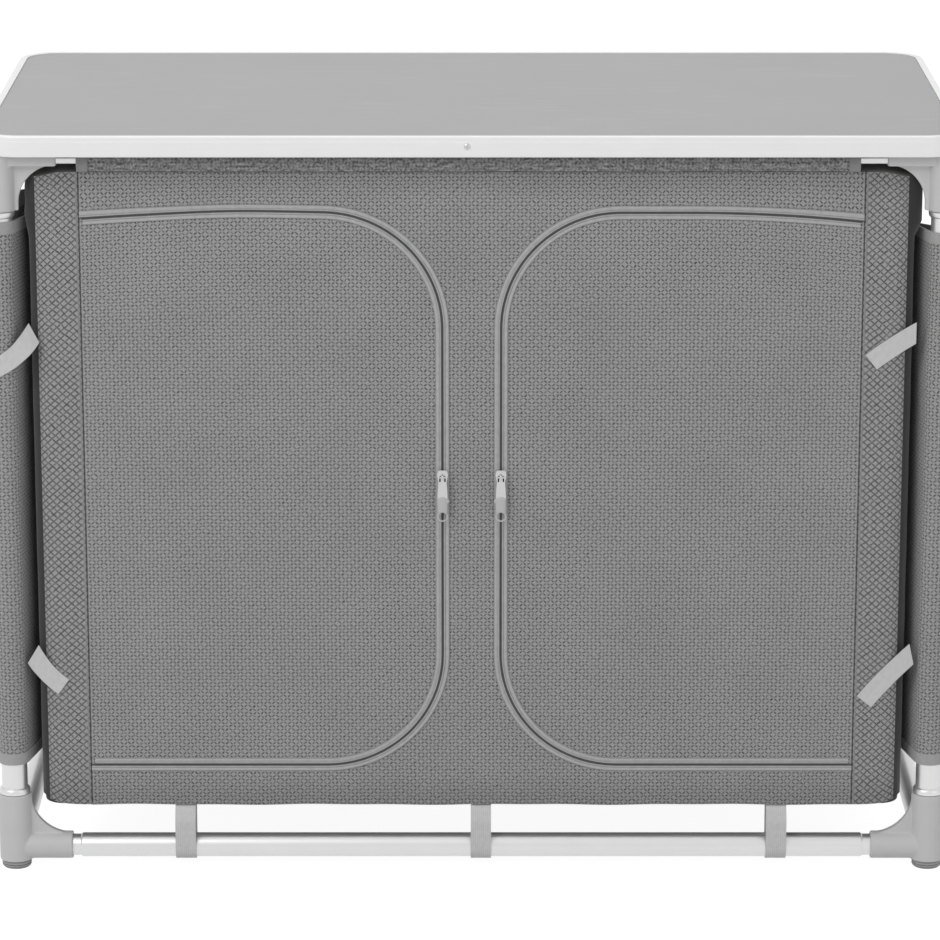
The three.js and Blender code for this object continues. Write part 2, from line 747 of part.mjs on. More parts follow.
function makeDoor(side, sign) {
  const panel = new THREE.Shape(doorEdge(-zipSplit, -seamHalfSpan));
  const door = frontPanel(panel, cupboardFront, wallFabric);
  place("door_" + side, door, fabric).scale.x = -sign;
  place("door_zip_" + side, zipHalf(-1), tape).scale.x = -sign;
  place("front_zip_" + side, zipHalf(1), tape).scale.x = -sign;
  const slider = place("zip_slider_" + side, zipSlider(), castMetal);
  slider.position.set(sign * zipFromMiddle, cupboardFront, zipTop - sliderDrop);
  const pivot = cupboardFront - teethThickness - 2 * seatGap - sliderThickness - bailHoleDepth / 2;
  const puller = place("zip_puller_" + side, zipPuller(), castMetal);
  puller.position.set(sign * zipFromMiddle, pivot, zipTop - sliderDrop);
}

// Strap under the cupboard: a strip below its floor with a loop round each base rail
function baseStrap() {
  const stripTop = cupboardBottom - seatGap;
  const strip = block(
    [-strapWidth / 2, -legY, stripTop - strapThickness],
    [strapWidth / 2, legY, stripTop],
  );
  const loopOutline = (grown) => {
    const reach = baseRailRadius + seatGap + grown;
    const shoulder = stripTop - strapThickness + grown;
    const shape = new THREE.Shape();
    shape.moveTo(reach / 2, shoulder);
    shape.lineTo(-reach / 2, shoulder);
    shape.lineTo(-reach, shoulder - strapShoulder);
    shape.absarc(0, baseRailHeight, reach, Math.PI, 2 * Math.PI, false);
    shape.lineTo(reach, shoulder - strapShoulder);
    return shape;
  };
  const loops = [-1, 1].map((sign) => {
    const skin = sideProfile(loopOutline(strapThickness), -strapWidth / 2, strapWidth);
    const hollow = sideProfile(loopOutline(0), -strapWidth / 2 - cutOverrun, strapWidth + 2 * cutOverrun);
    return cut(skin, hollow).translate(0, sign * legY, 0);
  });
  return join(strip, ...loops);
}

// Tie for a rolled door: a band that leaves its root aslant and bends, drawn in X and Z
function doorTie({ lean, bend, length }) {
  const way = Math.sign(bend);
  const radius = length / Math.abs(bend);
  const from = (way * Math.PI) / 2 - lean;
  const to = from - bend;
  const centreX = -radius * Math.cos(from);
  const centreZ = -radius * Math.sin(from);
  const shape = new THREE.Shape();
  shape.absarc(centreX, centreZ, radius + tieWidth / 2, from, to, way > 0);
  shape.absarc(centreX, centreZ, radius - tieWidth / 2, to, from, way < 0);
  return frontPanel(shape, -seatGap - tieThickness, tieThickness);
}

function makeStraps() {
  const outer = seamHalfSpan - strapFromSeam;
  const places = { left: -outer, middle: 0, right: outer };
  for (const [name, x] of Object.entries(places)) {
    place("base_strap_" + name, baseStrap().translate(x, 0, 0), webbing);
  }
  const onFront = { y: cupboardFront, outwards: -1 };
  const onWrap = { y: -legY - legRadius - seatGap - wrapFabric, outwards: 1 };
  const ties = [
    ["upper_left", -1, cupboardTop - tieDrop, onWrap],
    ["upper_right", 1, cupboardTop - tieDrop, onFront],
    ["lower_left", -1, cupboardBottom + tieRise, onFront],
    ["lower_right", 1, cupboardBottom + tieRise, onFront],
  ];
  for (const [name, side, level, cloth] of ties) {
    const shape = tieShapes[name];
    const tie = place("door_tie_" + name, doorTie(shape), webbing);
    tie.position.set(side * (cupboardHalfWidth + shape.start), cloth.y, level);
    tie.scale.x = side * cloth.outwards;
  }
}

makeWorktop();
makeFrame();
makeCupboard();
makeStraps();

export default unit;
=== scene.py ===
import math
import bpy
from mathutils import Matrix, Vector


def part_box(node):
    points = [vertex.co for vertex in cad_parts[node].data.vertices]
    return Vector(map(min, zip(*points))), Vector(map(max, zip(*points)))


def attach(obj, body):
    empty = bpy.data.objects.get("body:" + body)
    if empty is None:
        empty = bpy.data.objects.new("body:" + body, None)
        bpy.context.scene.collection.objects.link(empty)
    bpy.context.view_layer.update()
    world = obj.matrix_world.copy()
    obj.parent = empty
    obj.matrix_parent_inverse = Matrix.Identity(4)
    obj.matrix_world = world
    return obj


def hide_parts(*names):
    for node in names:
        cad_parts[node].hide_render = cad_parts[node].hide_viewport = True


bl_info = {
    "name": "Camping kitchen unit",
    "version": (1, 0, 0),
    "blender": (4, 5, 0),
    "location": "3D View > Sidebar > Kitchen unit",
    "description": "Models a camping kitchen unit: its tubes, mouldings, cloth and finishes",
    "category": "Object",
}

import bmesh
import bpy
from bpy.props import FloatProperty, FloatVectorProperty, PointerProperty
from bpy.types import Operator, Panel, PropertyGroup
from mathutils import Matrix, Vector, noise

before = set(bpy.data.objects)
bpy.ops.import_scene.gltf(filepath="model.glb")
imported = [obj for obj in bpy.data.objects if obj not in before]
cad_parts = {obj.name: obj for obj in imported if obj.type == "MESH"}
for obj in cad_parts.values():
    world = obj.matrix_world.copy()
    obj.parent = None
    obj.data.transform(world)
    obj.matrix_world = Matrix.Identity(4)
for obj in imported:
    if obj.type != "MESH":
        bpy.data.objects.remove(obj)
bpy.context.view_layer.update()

MM = 0.001
X, Y, Z = Vector((1, 0, 0)), Vector((0, 1, 0)), Vector((0, 0, 1))
QUARTER, FULL = math.pi / 2, 2 * math.pi
SIDES = {"left": -1, "right": 1}
ENDS = {"front": -1, "rear": 1}
CORNERS = {end + "_" + side: (SIDES[side], ENDS[end]) for end in ENDS for side in SIDES}

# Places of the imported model, in metres
TRIM_LOW, TRIM_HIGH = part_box("worktop_edge_trim")
LEG_LOW, LEG_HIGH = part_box("leg_rear_right")
BRACKET_LOW, BRACKET_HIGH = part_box("top_bracket_rear_right")
CORNER_LOW, CORNER_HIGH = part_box("base_corner_rear_right")
RAIL_LOW, RAIL_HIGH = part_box("base_rail_rear")
FOOT_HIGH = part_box("levelling_foot_rear_right")[1]
FRONT_LOW, FRONT_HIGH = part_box("cupboard_front")
SIDE_LOW, SIDE_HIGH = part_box("cupboard_side_right")
DOOR_LOW, DOOR_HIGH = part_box("door_right")
WRAP_LOW, WRAP_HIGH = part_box("leg_wrap_rear_right")
SLEEVE_LOW, SLEEVE_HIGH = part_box("rail_sleeve_rear")
SLIDER_LOW, SLIDER_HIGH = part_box("zip_slider_right")
PULLER_LOW, PULLER_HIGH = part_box("zip_puller_right")
LEG_AXIS = (LEG_LOW + LEG_HIGH) / 2
RAIL_LEVEL = (RAIL_LOW.z + RAIL_HIGH.z) / 2
FACE = FRONT_LOW.y
SEAM = FRONT_HIGH.x
STITCH_LINE = SEAM + 2.3 * MM


def length(name, description, millimetres):
    """A length property, its default given in millimetres."""
    default = millimetres * MM
    return FloatProperty(name=name, description=description, default=default, min=0, unit="LENGTH")


def linear(level):
    """Linear light of a display grey from 0 to 255."""
    share = level / 255
    return share / 12.92 if share <= 0.04045 else ((share + 0.055) / 1.055) ** 2.4


def tone(name, description, level):
    """A grey colour property, its default given as a display level from 0 to 255."""
    default = [linear(level)] * 3
    return FloatVectorProperty(
        name=name, description=description, default=default, subtype="COLOR"
    )


class KitchenSizes(PropertyGroup):
    """Sizes of the tubes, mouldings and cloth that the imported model's boxes don't give"""

    top_corner: length("Worktop corner", "Radius of the worktop's corners", 44)
    trim_lip: length("Trim lip", "Width of the trim's upper and lower lip", 8)
    trim_wall: length("Trim wall", "Thickness of the trim's rim", 2)
    trim_thickness: length("Trim lip thickness", "Thickness of the trim's lips", 2.4)
    leg_radius: length("Leg radius", "Outside radius of a leg tube", 14)
    leg_wall: length("Leg wall", "Thickness of a leg tube's wall", 1.5)
    bead_height: length("Bead height", "Height of the beads on a leg", 7.2)
    boss_radius: length("Boss radius", "Outside radius of the bosses round a leg", 18)
    boss_bore: length("Boss bore", "Radius of the bore that a leg stands in", 14.3)
    arm_width: length("Arm width", "Width of an upper bracket's arm", 26)
    arm_height: length("Arm height", "Height of an upper bracket's arm", 11.7)
    web_thickness: length("Web thickness", "Thickness of a moulded web", 8)
    socket_radius: length("Socket radius", "Outside radius of a rail socket", 14.9)
    socket_bore: length("Socket bore", "Radius of the bore of a rail socket", 11.9)
    foot_bore: length("Foot bore", "Radius of the bore for a foot's stud", 4.3)
    leg_seat: length("Leg seat", "Height of the face that a leg stands on", 39.7)
    rail_radius: length("Rail radius", "Outside radius of a base rail", 13)
    neck_radius: length("Neck radius", "Radius of a base rail's drawn-in end", 11.6)
    plug_depth: length("Plug depth", "How far a base rail goes into its socket", 30)
    neck_length: length("Neck length", "Length of neck that shows beside the socket", 8)
    zip_corner: length("Zip corner", "Radius of the zips' corners", 125)
    zip_start: length("Zip start", "Gap from the seam to the end of the doors' tapes", 4.2)
    zip_drop_left: length("Left zip drop", "How far the left upper zip sinks to its seam", 6.5)
    zip_drop_right: length("Right zip drop", "The same at the right door", 10)
    wall_corner: length("Cupboard corner", "Radius of the cupboard's upright corners", 24)
    cloth: length("Cloth thickness", "Thickness of the cupboard's cloth", 1.6)
    webbing: length("Webbing thickness", "Thickness of the straps and ties", 1.4)
    binding: length("Binding width", "Width of the light bindings", 12)
    net: length("Cloth net", "Width of the squares that cloth is divided into", 8)
    stitch: length("Stitch pitch", "Distance from one stitch to the next", 3.8)
    figure_width: length("Figure width", "Width of one stroke's cell in the figured cloth", 4.22)
    figure_height: length("Figure height", "Height of one stroke's cell", 3.79)


class KitchenColours(PropertyGroup):
    """Colours of the finishes"""

    laminate: tone("Laminate", "The worktop's laminate", 165)
    trim: tone("Trim", "The worktop's edge trim", 236)
    fibreboard: tone("Fibreboard", "The worktop's core board", 120)
    plastic: tone("Grey plastic", "Brackets and base corners", 205)
    tube: tone("Tube", "Legs and rails", 218)
    rubber: tone("Foot", "Levelling feet", 165)
    figure_light: tone("Figured cloth", "Ground of the figured cloth", 160)
    figure_dark: tone("Figured cloth, strokes", "Dark strokes of the figured cloth", 58)
    # Dark cloth of the cupboard's sides, made darker still as painted shade on the sides
    side_cloth: tone("Side cloth", "The cupboard's dark sides", 44)
    lining: tone("Lining", "Cloth on the shelves, floor and divider", 70)
    tape: tone("Zip tape", "Zip tapes", 182)
    coil: tone("Zip teeth", "Teeth in the slit", 88)
    zip_metal: tone("Zip metal", "Sliders and pullers", 190)
    grip: tone("Puller grip", "Moulded grip of a puller", 190)
    webbing: tone("Webbing", "Straps and ties", 208)
    binding: tone("Binding", "Bindings of the wraps", 172)
    hem: tone("Hem", "Hems of the sleeves", 142)
    thread: tone("Thread", "Stitches", 146)


# Shaders


class Field:
    """A number or colour that varies over a surface, so that sums on it add nodes"""

    def __init__(self, nodes, socket):
        self.nodes, self.socket = nodes, socket

    def math(self, operation, *others, swap=False):
        values = [*others, self] if swap else [self, *others]
        return self.nodes.node("Math", {"operation": operation}, dict(enumerate(values)))

    def __add__(self, other):
        return self.math("ADD", other)

    def __sub__(self, other):
        return self.math("SUBTRACT", other)

    def __rsub__(self, other):
        return self.math("SUBTRACT", other, swap=True)

    def __mul__(self, other):
        return self.math("MULTIPLY", other)

    def __abs__(self):
        return self.math("ABSOLUTE")

    __radd__, __rmul__ = __add__, __mul__

    def sin(self):
        return self.math("SINE")

    def wave(self, pitch):
        """Ripples between -1 and 1."""
        return (self * (FULL / pitch)).math("COSINE")

    def least(self, other):
        return self.math("MINIMUM", other)

    def most(self, other):
        return self.math("MAXIMUM", other)

    def ramp(self, low, high):
        """0 below low, 1 above high, and smooth between them."""
        limits = {"From Min": low, "From Max": high, "Value": self}
        return self.nodes.node("MapRange", {"interpolation_type": "SMOOTHSTEP"}, limits)

    def band(self, middle, inner, outer):
        """1 within inner of the middle, 0 beyond outer, and smooth between them."""
        return 1 - abs(self - middle).ramp(inner, outer)


class Nodes:
    """A shader's node tree, with one method that adds to it and names for what it adds"""

    def __init__(self, tree):
        self.tree = tree

    def feed(self, node, inputs):
        for key, value in inputs.items():
            entry = node.inputs[key]
            if isinstance(value, Field):
                self.tree.links.new(value.socket, entry)
            elif hasattr(value, "__len__") and len(entry.default_value) == 4:
                entry.default_value = [*value][:3] + [1]
            else:
                entry.default_value = value

    def node(self, kind, settings=None, inputs=None, output=0):
        """Adds a node, makes its settings, feeds its inputs and returns one of its outputs."""
        made = self.tree.nodes.new("ShaderNode" + kind)
        for key, value in (settings or {}).items():
            setattr(made, key, value)
        self.feed(made, inputs or {})
        return Field(self, made.outputs[output])

    def split(self, vector):
        return [self.node("SeparateXYZ", inputs={0: vector}, output=axis) for axis in range(3)]

    def noise(self, place, size, detail=2, stretch=(1, 1, 1)):
        """Noise about 0.5, whose features are as wide as size."""
        mapped = self.node("Mapping", inputs={"Vector": place, "Scale": stretch})
        inputs = {"Vector": mapped, "Scale": 1 / size, "Detail": detail}
        return self.node("TexNoise", inputs=inputs)

    def mix(self, share, first, second):
        """Blends two colours."""
        return self.node("Mix", {"data_type": "RGBA"}, {0: share, 6: first, 7: second}, output=2)

    def shade(self, colour, factor):
        """A colour made lighter or darker by a number about 1."""
        return self.node("VectorMath", {"operation": "SCALE"}, {0: colour, "Scale": factor})

    def seen_rays(self):
        """1 for what the camera sees directly, in a reflection or through something."""
        rays = [self.node("LightPath", output=kind) for kind in (0, 3, 6)]
        return rays[0].most(rays[1]).most(rays[2])


class Finish(Nodes):
    """One material: a Principled shader and the nodes that feed it"""

    def __init__(self, name, **constants):
        self.material = bpy.data.materials.new(name)
        self.material.use_nodes = True
        super().__init__(self.material.node_tree)
        self.sizes = bpy.context.scene.kitchen_sizes
        self.colours = bpy.context.scene.kitchen_colours
        self.paint(**constants)

    def cloth_place(self):
        """Place on the flat cloth, in metres."""
        return self.node("UVMap", {"uv_map": "flat"})

    def body_place(self):
        """Place in the unit, in metres."""
        return self.node("TexCoord", output=3)

    def paint(self, relief=None, **inputs):
        """Feeds the Principled shader; relief is a height and how far that stands out."""
        if relief:
            height, distance = relief
            inputs["Normal"] = self.node("Bump", inputs={"Height": height, "Distance": distance})
        inputs = {key.replace("_", " "): value for key, value in inputs.items()}
        self.feed(self.tree.nodes["Principled BSDF"], inputs)
        return self.material


def figured_cloth(name, crossed):
    """Cloth with short dark strokes that slant both ways; crossed says how far they join up."""
    finish = Finish(name, Sheen_Weight=0.15, Sheen_Roughness=0.6)
    place, colours = finish.cloth_place(), finish.colours
    uneven, fine = finish.noise(place, 5 * MM), finish.noise(place, 1.4 * MM)
    patch = finish.noise(place, 80 * MM)
    stray = (finish.noise(place, 12 * MM) - 0.5) * (3.2 * MM)
    u, v, _ = finish.split(place)
    across = (u + stray) * (QUARTER / finish.sizes.figure_width)
    along = (v - stray) * (QUARTER / finish.sizes.figure_height)
    rising, falling = abs((across + along).sin()), abs((across - along).sin())
    line = 1 - rising.least(falling).ramp(0.08, 0.6)
    lone = rising.most(falling).ramp(0.35, 0.95)
    x, _, z = finish.split(finish.body_place())
    stitched = abs(x).band(STITCH_LINE, 0.7 * MM, 1.4 * MM)
    stroke = line * (lone * (1 - crossed) + crossed) * (0.15 + uneven * 1.5) * (1 - stitched * 0.8)
    threads = across.wave(FULL / 4) * along.wave(FULL / 2)
    height = 0.7 - stroke * 0.6 + threads * 0.06 + (fine - 0.5) * 0.3
    colour = finish.mix(stroke.least(1), colours.figure_light, colours.figure_dark)
    # Painted shade: darker where the cloth turns the cupboard's corner, in the seam's crease, in
    # the worktop's shadow at the top and where the cloth curves under at the bottom
    turn = abs(x).ramp(455 * MM, 464 * MM) * (1 - abs(x).ramp(470 * MM, 474 * MM))
    seam = abs(x).band(SEAM, 0.5 * MM, 1.3 * MM)
    top = z.ramp(SIDE_HIGH.z - 34 * MM, SIDE_HIGH.z)
    bottom = 1 - z.ramp(SIDE_LOW.z, SIDE_LOW.z + 40 * MM)
    shadow = (1 - turn * 0.6) * (1 - seam * 0.65) * (1 - (top + bottom) * 0.2)
    return finish.paint(
        Base_Color=finish.shade(colour, (0.4 + patch * 0.2 + fine) * shadow),
        Roughness=0.95 - height * 0.12,
        relief=(height, 0.35 * MM),
    )


def sleeve_cloth(name):
    """Rumpled cloth whose figure hardly shows."""
    finish = Finish(name, Sheen_Weight=0.15, Sheen_Roughness=0.6)
    place, sizes, colours = finish.cloth_place(), finish.sizes, finish.colours
    u, v, _ = finish.split(place)
    speck = finish.noise(place, 2.6 * MM, 3)
    strand = finish.noise(place, 4 * MM, 2, (1, 0.35, 1))
    across, along = u * (QUARTER / sizes.figure_width), v * (QUARTER / sizes.figure_height)
    figure = (across + along).wave(FULL / 2) * (across - along).wave(FULL / 2)
    height = (speck - 0.5) * 2.2 + (strand - 0.5) + figure * 0.12 + 0.5
    colour = finish.mix(height.ramp(-0.2, 1.2), colours.figure_dark, colours.figure_light)
    return finish.paint(
        Base_Color=finish.shade(colour, 0.85 + strand * 0.5),
        Roughness=0.95 - height * 0.12,
        relief=(height, 0.3 * MM),
    )


def plain_cloth(name, colour):
    """Close plain cloth."""
    pitch = 1.4 * MM
    finish = Finish(name, Sheen_Weight=0.3, Sheen_Roughness=0.5)
    place = finish.cloth_place()
    u, v, _ = finish.split(place)
    uneven = finish.noise(place, 12 * MM, 4)
    height = u.wave(pitch) * v.wave(pitch) * 0.3 + 0.5 + (uneven - 0.5) * 0.4
    tint = 0.7 + height * 0.35 + uneven * 0.25
    return finish.paint(
        Base_Color=finish.shade(getattr(finish.colours, colour), tint),
        Roughness=0.96 - height * 0.1,
        relief=(height, 0.15 * MM),
    )


def ribbed(name, colour, pitch, patchy):
    """Woven band with ribs across it, of that pitch, and a patchy tone."""
    finish = Finish(name, Sheen_Weight=0.2, Sheen_Roughness=0.5)
    place = finish.cloth_place()
    u, v, _ = finish.split(place)
    ribs, rows = u.wave(pitch), v.wave(2.1 * MM)
    uneven = finish.noise(place, 5 * MM, 3)
    height = ribs * rows * 0.3 + rows * 0.15 + 0.5 + (uneven - 0.5) * 0.4
    tint = 0.78 + height * 0.3 + uneven * patchy
    return finish.paint(
        Base_Color=finish.shade(getattr(finish.colours, colour), tint),
        Roughness=0.9 - height * 0.12,
        relief=(height, 0.2 * MM),
    )


def thread(name):
    """Twisted sewing thread."""
    pitch = 0.5 * MM
    finish = Finish(name, Roughness=0.7, Sheen_Weight=0.3)
    x, y, z = finish.split(finish.body_place())
    twist = ((x + y + z) * (FULL / pitch)).sin()
    return finish.paint(
        Base_Color=finish.shade(finish.colours.thread, 0.92 + twist * 0.08),
        relief=(twist, 0.05 * MM),
    )


def zip_tape(name):
    """Tape with dark teeth, a groove and a rim; u runs along it and v out from the slit."""
    finish = Finish(name, Sheen_Weight=0.15)
    place = finish.cloth_place()
    u, v, _ = finish.split(place)
    teeth = 1 - v.ramp(1.2 * MM, 1.5 * MM)
    groove = v.band(2.9 * MM, 0.3 * MM, 0.7 * MM)
    rim = v.ramp(6.1 * MM, 6.8 * MM)
    ticks, twill = u.wave(1.5 * MM), (u + v).wave(0.9 * MM)
    uneven = finish.noise(place, 6 * MM, 3)
    height = 0.5 + teeth * ticks * 0.35 + (1 - teeth) * twill * 0.08 - groove * 0.3
    colour = finish.mix(teeth, finish.colours.tape, finish.colours.coil)
    # The groove is darkened in colour as well as by its shape: painted shade in its hollow
    tint = (0.78 + twill * 0.03 + ticks * teeth * 0.1 + uneven * 0.4) * (1 - groove * 0.3)
    return finish.paint(
        Base_Color=finish.shade(colour, tint * (1 - rim * 0.35)),
        Roughness=0.85 - height * 0.2,
        relief=(height, 0.2 * MM),
    )


def laminate(name):
    """Fine-grained laminate with faint wear."""
    finish = Finish(name)
    place = finish.body_place()
    grain, cloud = finish.noise(place, 1.2 * MM, 3), finish.noise(place, 120 * MM, 3)
    rubbed = finish.noise(place, 20 * MM, 5, (0.3, 1, 1)).ramp(0.55, 0.75)
    return finish.paint(
        Base_Color=finish.shade(finish.colours.laminate, 0.9 + grain * 0.12 + cloud * 0.08),
        Roughness=0.52 - rubbed * 0.08 + grain * 0.06,
        relief=(grain, 0.04 * MM),
    )


def fibreboard(name):
    """Bare pressed board."""
    finish = Finish(name)
    chips = finish.noise(finish.body_place(), 3 * MM, 5, (0.4, 0.4, 1))
    dark, light = (
        [value * warm for value, warm in zip(finish.colours.fibreboard, warmth)]
        for warmth in ((0.9, 0.7, 0.45), (1.5, 1.2, 0.8))
    )
    return finish.paint(
        Base_Color=finish.mix(chips.ramp(0.3, 0.7), dark, light),
        Roughness=0.9 - chips * 0.1,
        relief=(chips, 0.2 * MM),
    )


def drawn_metal(name, colour, stretch, metallic, roughness):
    """Satin metal with drawing lines along it."""
    finish = Finish(name, Metallic=metallic)
    place = finish.body_place()
    lines = finish.noise(place, 0.8 * MM, 3, stretch)
    stains = finish.noise(place, 30 * MM, 4)
    tint = 0.94 + lines * 0.06 + stains * 0.05
    return finish.paint(
        Base_Color=finish.shade(getattr(finish.colours, colour), tint),
        Roughness=roughness - 0.06 + lines * 0.08 + stains * 0.06,
        relief=(lines, 0.015 * MM),
    )


def moulded_plastic(name, colour, spark, roughness):
    """Moulded plastic with a fine eroded skin."""
    finish = Finish(name)
    place = finish.body_place()
    skin, cloud = finish.noise(place, spark, 3), finish.noise(place, 20 * MM)
    tint = 0.93 + skin * 0.08 + cloud * 0.06
    return finish.paint(
        Base_Color=finish.shade(getattr(finish.colours, colour), tint),
        Roughness=roughness - 0.06 + skin * 0.12,
        relief=(skin, 0.05 * MM),
    )


def floor(name):
    """White ground that keeps the unit's shadow and shows white to the camera."""
    finish = Finish(name)
    seen = finish.seen_rays()
    diffuse = finish.node("BsdfDiffuse", inputs={"Color": 0.8 - seen * 0.5})
    glow = finish.node("Emission", inputs={"Strength": seen * 0.93})
    both = finish.node("AddShader", inputs={0: diffuse, 1: glow})
    finish.feed(finish.tree.nodes["Material Output"], {"Surface": both})
    return finish.material


# What makes each finish, and the values after its name
FINISHES = {
    "panel_cloth": (figured_cloth, 0.12),
    "strip_cloth": (figured_cloth, 0.8),
    "sleeve_cloth": (sleeve_cloth,),
    "side_cloth": (plain_cloth, "side_cloth"),
    "lining": (plain_cloth, "lining"),
    "hem": (plain_cloth, "hem"),
    "webbing": (ribbed, "webbing", 1.6 * MM, 0.12),
    "binding": (ribbed, "binding", 1.1 * MM, 0.08),
    "thread": (thread,),
    "zip_tape": (zip_tape,),
    "laminate": (laminate,),
    "fibreboard": (fibreboard,),
    "trim": (drawn_metal, "trim", (0.02, 0.02, 1), 0.35, 0.42),
    "upright_tube": (drawn_metal, "tube", (1, 1, 0.02), 0.75, 0.34),
    "level_tube": (drawn_metal, "tube", (0.02, 1, 1), 0.75, 0.34),
    "zip_metal": (drawn_metal, "zip_metal", (1, 1, 1), 0.95, 0.26),
    "plastic": (moulded_plastic, "plastic", 0.7 * MM, 0.5),
    "rubber": (moulded_plastic, "rubber", 0.5 * MM, 0.72),
    "grip": (moulded_plastic, "grip", 0.4 * MM, 0.45),
    "floor": (floor,),
}


def material(name):
    """The finish of that name, made when it is first asked for."""
    full = "finish_" + name
    maker, *values = FINISHES[name]
    return bpy.data.materials.get(full) or maker(full, *values)


def dress(node, name):
    """Gives a CAD node that stays in sight its finish."""
    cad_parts[node].data.materials.clear()
    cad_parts[node].data.materials.append(material(name))


# Shapes


def clamp(*values):
    """The least of some numbers, kept between 0 and 1."""
    return max(0, min(1, *values))


def angles(steps):
    return [FULL * step / steps for step in range(steps)]


def divided(low, high, pitch):
    """Even steps from low to high, about a pitch apart."""
    steps = max(1, round((high - low) / pitch))
    return [low + (high - low) * step / steps for step in range(steps + 1)]


def mirrored(sx, sy=1):
    return Matrix.Diagonal((sx, sy, 1, 1))


def outline(low, high, across=0, up=2):
    """The corners of a box, seen along one axis."""
    left, right, bottom, top = low[across], high[across], low[up], high[up]
    return [(left, bottom), (right, bottom), (right, top), (left, top)]


def flip(corners):
    """The same corners on the other side of the middle, in an order that closes the outline."""
    return [(-x, z) for x, z in reversed(corners)]


class Band:
    """A row of points pushed along a path; each point keeps its place on the flat band"""

    def __init__(self, points, heading, place, closed=False):
        self.bm = bmesh.new()
        self.flat = self.bm.verts.layers.float_vector.new("flat")
        self.heading, self.place, self.run = Vector(heading), Vector(place), 0.0
        across, verts = 0.0, []
        for point in map(Vector, points):
            if verts:
                across += (point - verts[-1].co).length
            verts.append(self.bm.verts.new(point))
            verts[-1][self.flat] = (0, across, 0)
        ends = verts[1:] + (verts[:1] if closed else [])
        self.first = self.row = [self.bm.edges.new(pair) for pair in zip(verts, ends)]

    def push(self, move):
        """Extrudes the last row once and moves what is new."""
        made = bmesh.ops.extrude_edge_only(self.bm, edges=self.row)["geom"]
        verts = {g for g in made if isinstance(g, bmesh.types.BMVert)}
        edges = [g for g in made if isinstance(g, bmesh.types.BMEdge)]
        self.row = [edge for edge in edges if verts.issuperset(edge.verts)]
        bmesh.ops.transform(self.bm, matrix=move, verts=list(verts))
        for vert in verts:
            vert[self.flat] = (self.run, vert[self.flat].y, 0)
        self.place = move @ self.place

    def go(self, distance, pitch=None):
        steps = max(1, round(distance / pitch)) if pitch else 1
        for _ in range(steps):
            self.run += distance / steps
            self.push(Matrix.Translation(self.heading * (distance / steps)))

    def turn(self, axis, radius, angle, steps=8):
        """Follows an arc; a positive angle turns as a right-hand screw about the axis."""
        centre = self.place + axis.cross(self.heading) * math.copysign(radius, angle)
        step = Matrix.Rotation(angle / steps, 4, axis)
        about = Matrix.Translation(centre) @ step @ Matrix.Translation(-centre)
        for _ in range(steps):
            self.run += radius * abs(angle) / steps
            self.push(about)
            self.heading = step.to_3x3() @ self.heading

    def follow(self, points, radii, axis, pitch, steps):
        """Walks through points, from where the band stands, and rounds each bend."""
        points = [self.place.copy(), *map(Vector, points)]
        legs = [b - a for a, b in zip(points, points[1:])]
        cut_off = 0.0
        for leg, following, radius in zip(legs, [*legs[1:], None], [*radii, 0]):
            self.heading = leg.normalized()
            bend = 0.0
            if following is not None:
                ahead = following.normalized()
                sine = axis.dot(self.heading.cross(ahead))
                bend = math.atan2(sine, self.heading.dot(ahead))
            tangent = radius * math.tan(abs(bend) / 2)
            distance = leg.length - cut_off - tangent
            if distance > 0.01 * MM:
                self.go(distance, pitch)
            if bend:
                self.turn(axis, radius, bend, steps)
            cut_off = tangent

    def finish(self, capped=False):
        """Unwraps the band, caps a closed section, evens the normals and returns the mesh."""
        unwrap(self.bm)
        if capped:
            bmesh.ops.edgeloop_fill(self.bm, edges=self.first)
            bmesh.ops.edgeloop_fill(self.bm, edges=self.row)
        bmesh.ops.recalc_face_normals(self.bm, faces=self.bm.faces)
        return self.bm


def unwrap(bm):
    """Writes the flat places into the UV map that the cloth finishes read."""
    flat = bm.verts.layers.float_vector["flat"]
    uv = bm.loops.layers.uv.get("flat") or bm.loops.layers.uv.new("flat")
    for face in bm.faces:
        for loop in face.loops:
            loop[uv].uv = loop.vert[flat].xy


def lay_out(bm):
    """Notes each point's X and Z as its place on the flat cloth."""
    layers = bm.verts.layers.float_vector
    flat = layers.get("flat") or layers.new("flat")
    for vert in bm.verts:
        vert[flat] = (vert.co.x, vert.co.z, 0)
    unwrap(bm)


def flat_cloth(corners, rounds=(), pitch=None, arc=16):
    """A flat piece through corners (x, z), some of them rounded, cut into a net of squares."""
    bm = bmesh.new()
    verts = [bm.verts.new((x, 0, z)) for x, z in corners]
    bm.faces.new(verts)
    for radius, picked in rounds:
        geom = [verts[index] for index in picked]
        bmesh.ops.bevel(
            bm, geom=geom, offset=radius, segments=arc, profile=0.5, affect="VERTICES", material=-1
        )
    if pitch:
        for axis, values in zip((X, Z), zip(*corners)):
            for place in divided(min(values), max(values), pitch)[1:-1]:
                cut(bm, axis, place)
    lay_out(bm)
    return bm


def cut(bm, axis, place):
    """Divides the mesh along a plane."""
    geom = bm.verts[:] + bm.edges[:] + bm.faces[:]
    bmesh.ops.bisect_plane(bm, geom=geom, dist=1e-6, plane_co=axis * place, plane_no=axis)


def flat_area(bm):
    return sum(face.calc_area() for face in bm.faces)


def shift(bm, offset):
    """Moves each vertex along its normal by what offset says of its flat place."""
    flat = bm.verts.layers.float_vector["flat"]
    bm.normal_update()
    moves = [(vert, vert.normal * offset(*vert[flat].xy)) for vert in bm.verts]
    for vert, move in moves:
        vert.co += move


def rumple(u, v, size, seed):
    """Smooth noise between -1 and 1 on the flat cloth."""
    return noise.noise(Vector((u / size, v / size, seed)))


